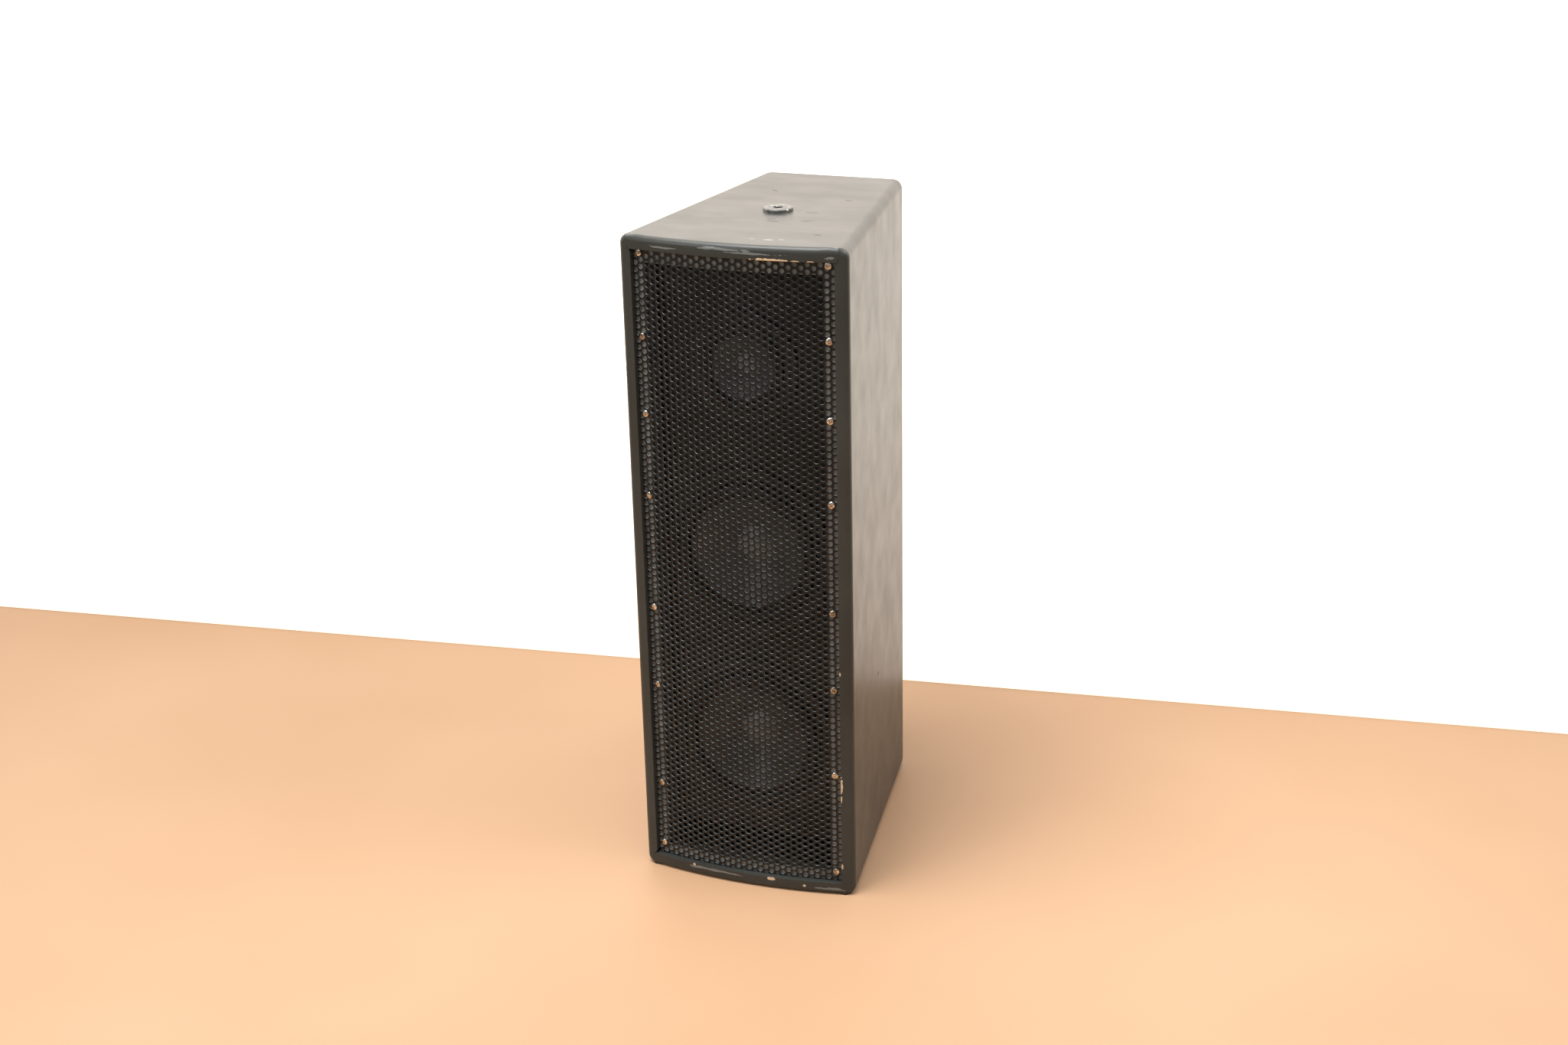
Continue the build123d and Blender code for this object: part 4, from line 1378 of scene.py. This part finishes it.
black_wood = board_paint("black_board", (0.006, 0.006, 0.0058), (0.015, 0.0148, 0.014))
primed_wood = board_paint("dusty_board", (0.12, 0.12, 0.11), (0.22, 0.215, 0.20))
raw_wood = plywood()
wire = windings()
board_green = sprayed("circuit_board", (0.010, 0.060, 0.024), (0.018, 0.095, 0.038), 0.35, 500, 0.1)
film = sprayed("capacitor_film", (0.42, 0.30, 0.05), (0.62, 0.46, 0.10), 0.3, 300, 0.1)
ceramic = sprayed("resistor_ceramic", (0.62, 0.60, 0.54), (0.80, 0.78, 0.72), 0.75, 800, 0.4)
ferrite = sprayed("magnet_ferrite", (0.030, 0.030, 0.032), (0.060, 0.060, 0.062), 0.55, 600, 0.5)
print("materials so far", len(bpy.data.materials))

# %% [markdown]
# A CAD node is given a finish by swapping its material and nothing else. The table says which, and the
# last line names any node that was left plain.

# %% Finishes on the CAD nodes
finishes = {
    "baffle": black_wood,
    "side_battens": primed_wood,
    "cross_battens": primed_wood,
    "port_shelf": black_wood,
    "brace": raw_wood,
    "divider": raw_wood,
    "socket_contacts": contact_metal,
    "crossover_board": board_green,
    "crossover_standoffs": contact_metal,
    "crossover_screws": screw_steel,
    "inductors": wire,
    "capacitors": film,
    "resistor": ceramic,
}
for name in drivers:
    finishes[f"{name}_frame"] = frame_paint
    finishes[f"{name}_voice_coil"] = wire
    finishes[f"{name}_top_plate"] = motor_steel
    finishes[f"{name}_magnet"] = ferrite
    finishes[f"{name}_yoke"] = motor_steel
    if f"{name}_gasket" in nodes:
        finishes[f"{name}_gasket"] = gasket_paper
for node, finish in finishes.items():
    nodes[node].data.materials.clear()
    nodes[node].data.materials.append(finish)
plain = [n for n, o in nodes.items() if n not in finishes and not o.hide_render]
print("finished CAD nodes", len(finishes), "still plain", plain)

# %% [markdown]
# The speaker stands on a plain, warm floor in front of a white backdrop. The backdrop is a glowing
# sheet, as a large softbox would be: the top and the side are seen at a low angle, so they mirror it
# and turn pale. It glows less and warmer towards its foot, where the floor would tint it. It is only
# there to be seen and mirrored, and lights nothing by diffuse light, or the back of the cabinet would
# be flooded from a hand's breadth away.

# %% Floor and backdrop
bpy.ops.mesh.primitive_plane_add(size=16, location=(0, 0, 0))
floor = added("floor")
floor_material = new_material("floor_surface", (0.54, 0.32, 0.185), 0.5, specular=0.25)
mottled(floor_material, 3, 2, (0.52, 0.305, 0.17), (0.555, 0.335, 0.195), low=0.3, high=0.7)
floor.data.materials.append(floor_material)

bpy.ops.mesh.primitive_plane_add(size=1, rotation=(math.pi / 2, 0, 0))
backdrop = added("backdrop")
backdrop.scale = (6, 2.6, 1)
backdrop.rotation_euler.z = math.radians(6.6)
backdrop.location = (0, 0.33, 1.301)
bpy.ops.object.transform_apply(location=True, rotation=True, scale=True)
print("backdrop is", [round(v, 2) for v in backdrop.dimensions])

# %% [markdown]
# The glow is an emission whose colour comes from a ramp over height, in metres, which needs the sheet's
# place to be in its mesh. The Backfacing output swaps it for a clear shader on the sheet's far side, so
# that the sheet doesn't hide the speaker from there.

# %% Backdrop glow
glow = bpy.data.materials.new("backdrop_glow")
glow.use_nodes = True
tree = glow.node_tree
tree.nodes.clear()
emission = tree.nodes.new("ShaderNodeEmission")
emission.inputs["Strength"].default_value = 3.2
level = tree.nodes.new("ShaderNodeTexCoord")
split = tree.nodes.new("ShaderNodeSeparateXYZ")
tree.links.new(level.outputs["Object"], split.inputs[0])
fade = [
    (0.0, (0.50, 0.39, 0.315)),
    (0.32, (0.71, 0.625, 0.535)),
    (0.64, (0.77, 0.69, 0.61)),
    (0.85, (0.96, 0.87, 0.79)),
]
warmth = ramp(glow, split.outputs["Z"], fade)
tree.links.new(warmth, emission.inputs["Color"])
clear = tree.nodes.new("ShaderNodeBsdfTransparent")
facing_side = tree.nodes.new("ShaderNodeNewGeometry")
either = tree.nodes.new("ShaderNodeMixShader")
output = tree.nodes.new("ShaderNodeOutputMaterial")
tree.links.new(facing_side.outputs["Backfacing"], either.inputs["Fac"])
tree.links.new(emission.outputs[0], either.inputs[1])
tree.links.new(clear.outputs[0], either.inputs[2])
tree.links.new(either.outputs[0], output.inputs["Surface"])
backdrop.data.materials.append(glow)
backdrop.visible_diffuse = False
print("glow strength", round(emission.inputs["Strength"].default_value, 2))

# %% [markdown]
# The rest of the room is dim, which leaves the front dark. A cool, weak world fills the shadows. One
# large softbox overhead gives the soft light from above, a smaller one at the front left puts a little
# shine on the grille's edges and the screws, and a third brightens the floor on the right.

# %% Lights
world = bpy.data.worlds.new("studio")
bpy.context.scene.world = world
world.use_nodes = True
world.node_tree.nodes["Background"].inputs["Color"].default_value = (0.88, 0.96, 1, 1)
world.node_tree.nodes["Background"].inputs["Strength"].default_value = 0.32


def softbox(name, place, aim, size, power):
    """A square area light that points at aim."""
    bpy.ops.object.light_add(type="AREA", location=place)
    light = bpy.context.object
    light.name = name
    light.data.size = size
    light.data.energy = power
    light.rotation_euler = (Vector(aim) - Vector(place)).to_track_quat("-Z", "Y").to_euler()
    return light


softbox("overhead", (-0.25, -0.45, 2.3), (0, -0.1, 0.3), 1.2, 71)
softbox("front_left", (-1.1, -2.0, 1.5), (0, -0.1, 0.25), 0.8, 14)
softbox("floor_lamp", (0.9, 0.0, 1.4), (0.35, 0.2, 0), 0.5, 9)
bpy.context.scene.view_settings.view_transform = "Standard"

# %% [markdown]
# The camera stands a little to the right and above, at about two metres, with a lens slightly longer
# than normal. Its turn is put together from three simple ones: to the left, down, and a slight roll.

# %% Camera
turn_left = 0.3553
look_down = 0.3687
roll = -0.0217
bpy.ops.object.camera_add(location=(0.67835, -1.84441, 1.07171))
camera = bpy.context.object
turn = Matrix.Rotation(turn_left, 3, "Z") @ Matrix.Rotation(math.pi / 2 - look_down, 3, "X")
turn = turn @ Matrix.Rotation(roll, 3, "Z")
camera.rotation_euler = turn.to_euler()
camera.data.sensor_width = 36
camera.data.lens = 51.14
bpy.context.scene.camera = camera
print("camera is", round(camera.location.length, 3), "metres from the origin")

# %% [markdown]
# The dressed speaker has to be as large as the imported one. Last, the view layer is brought up to date.

bpy.context.view_layer.update()
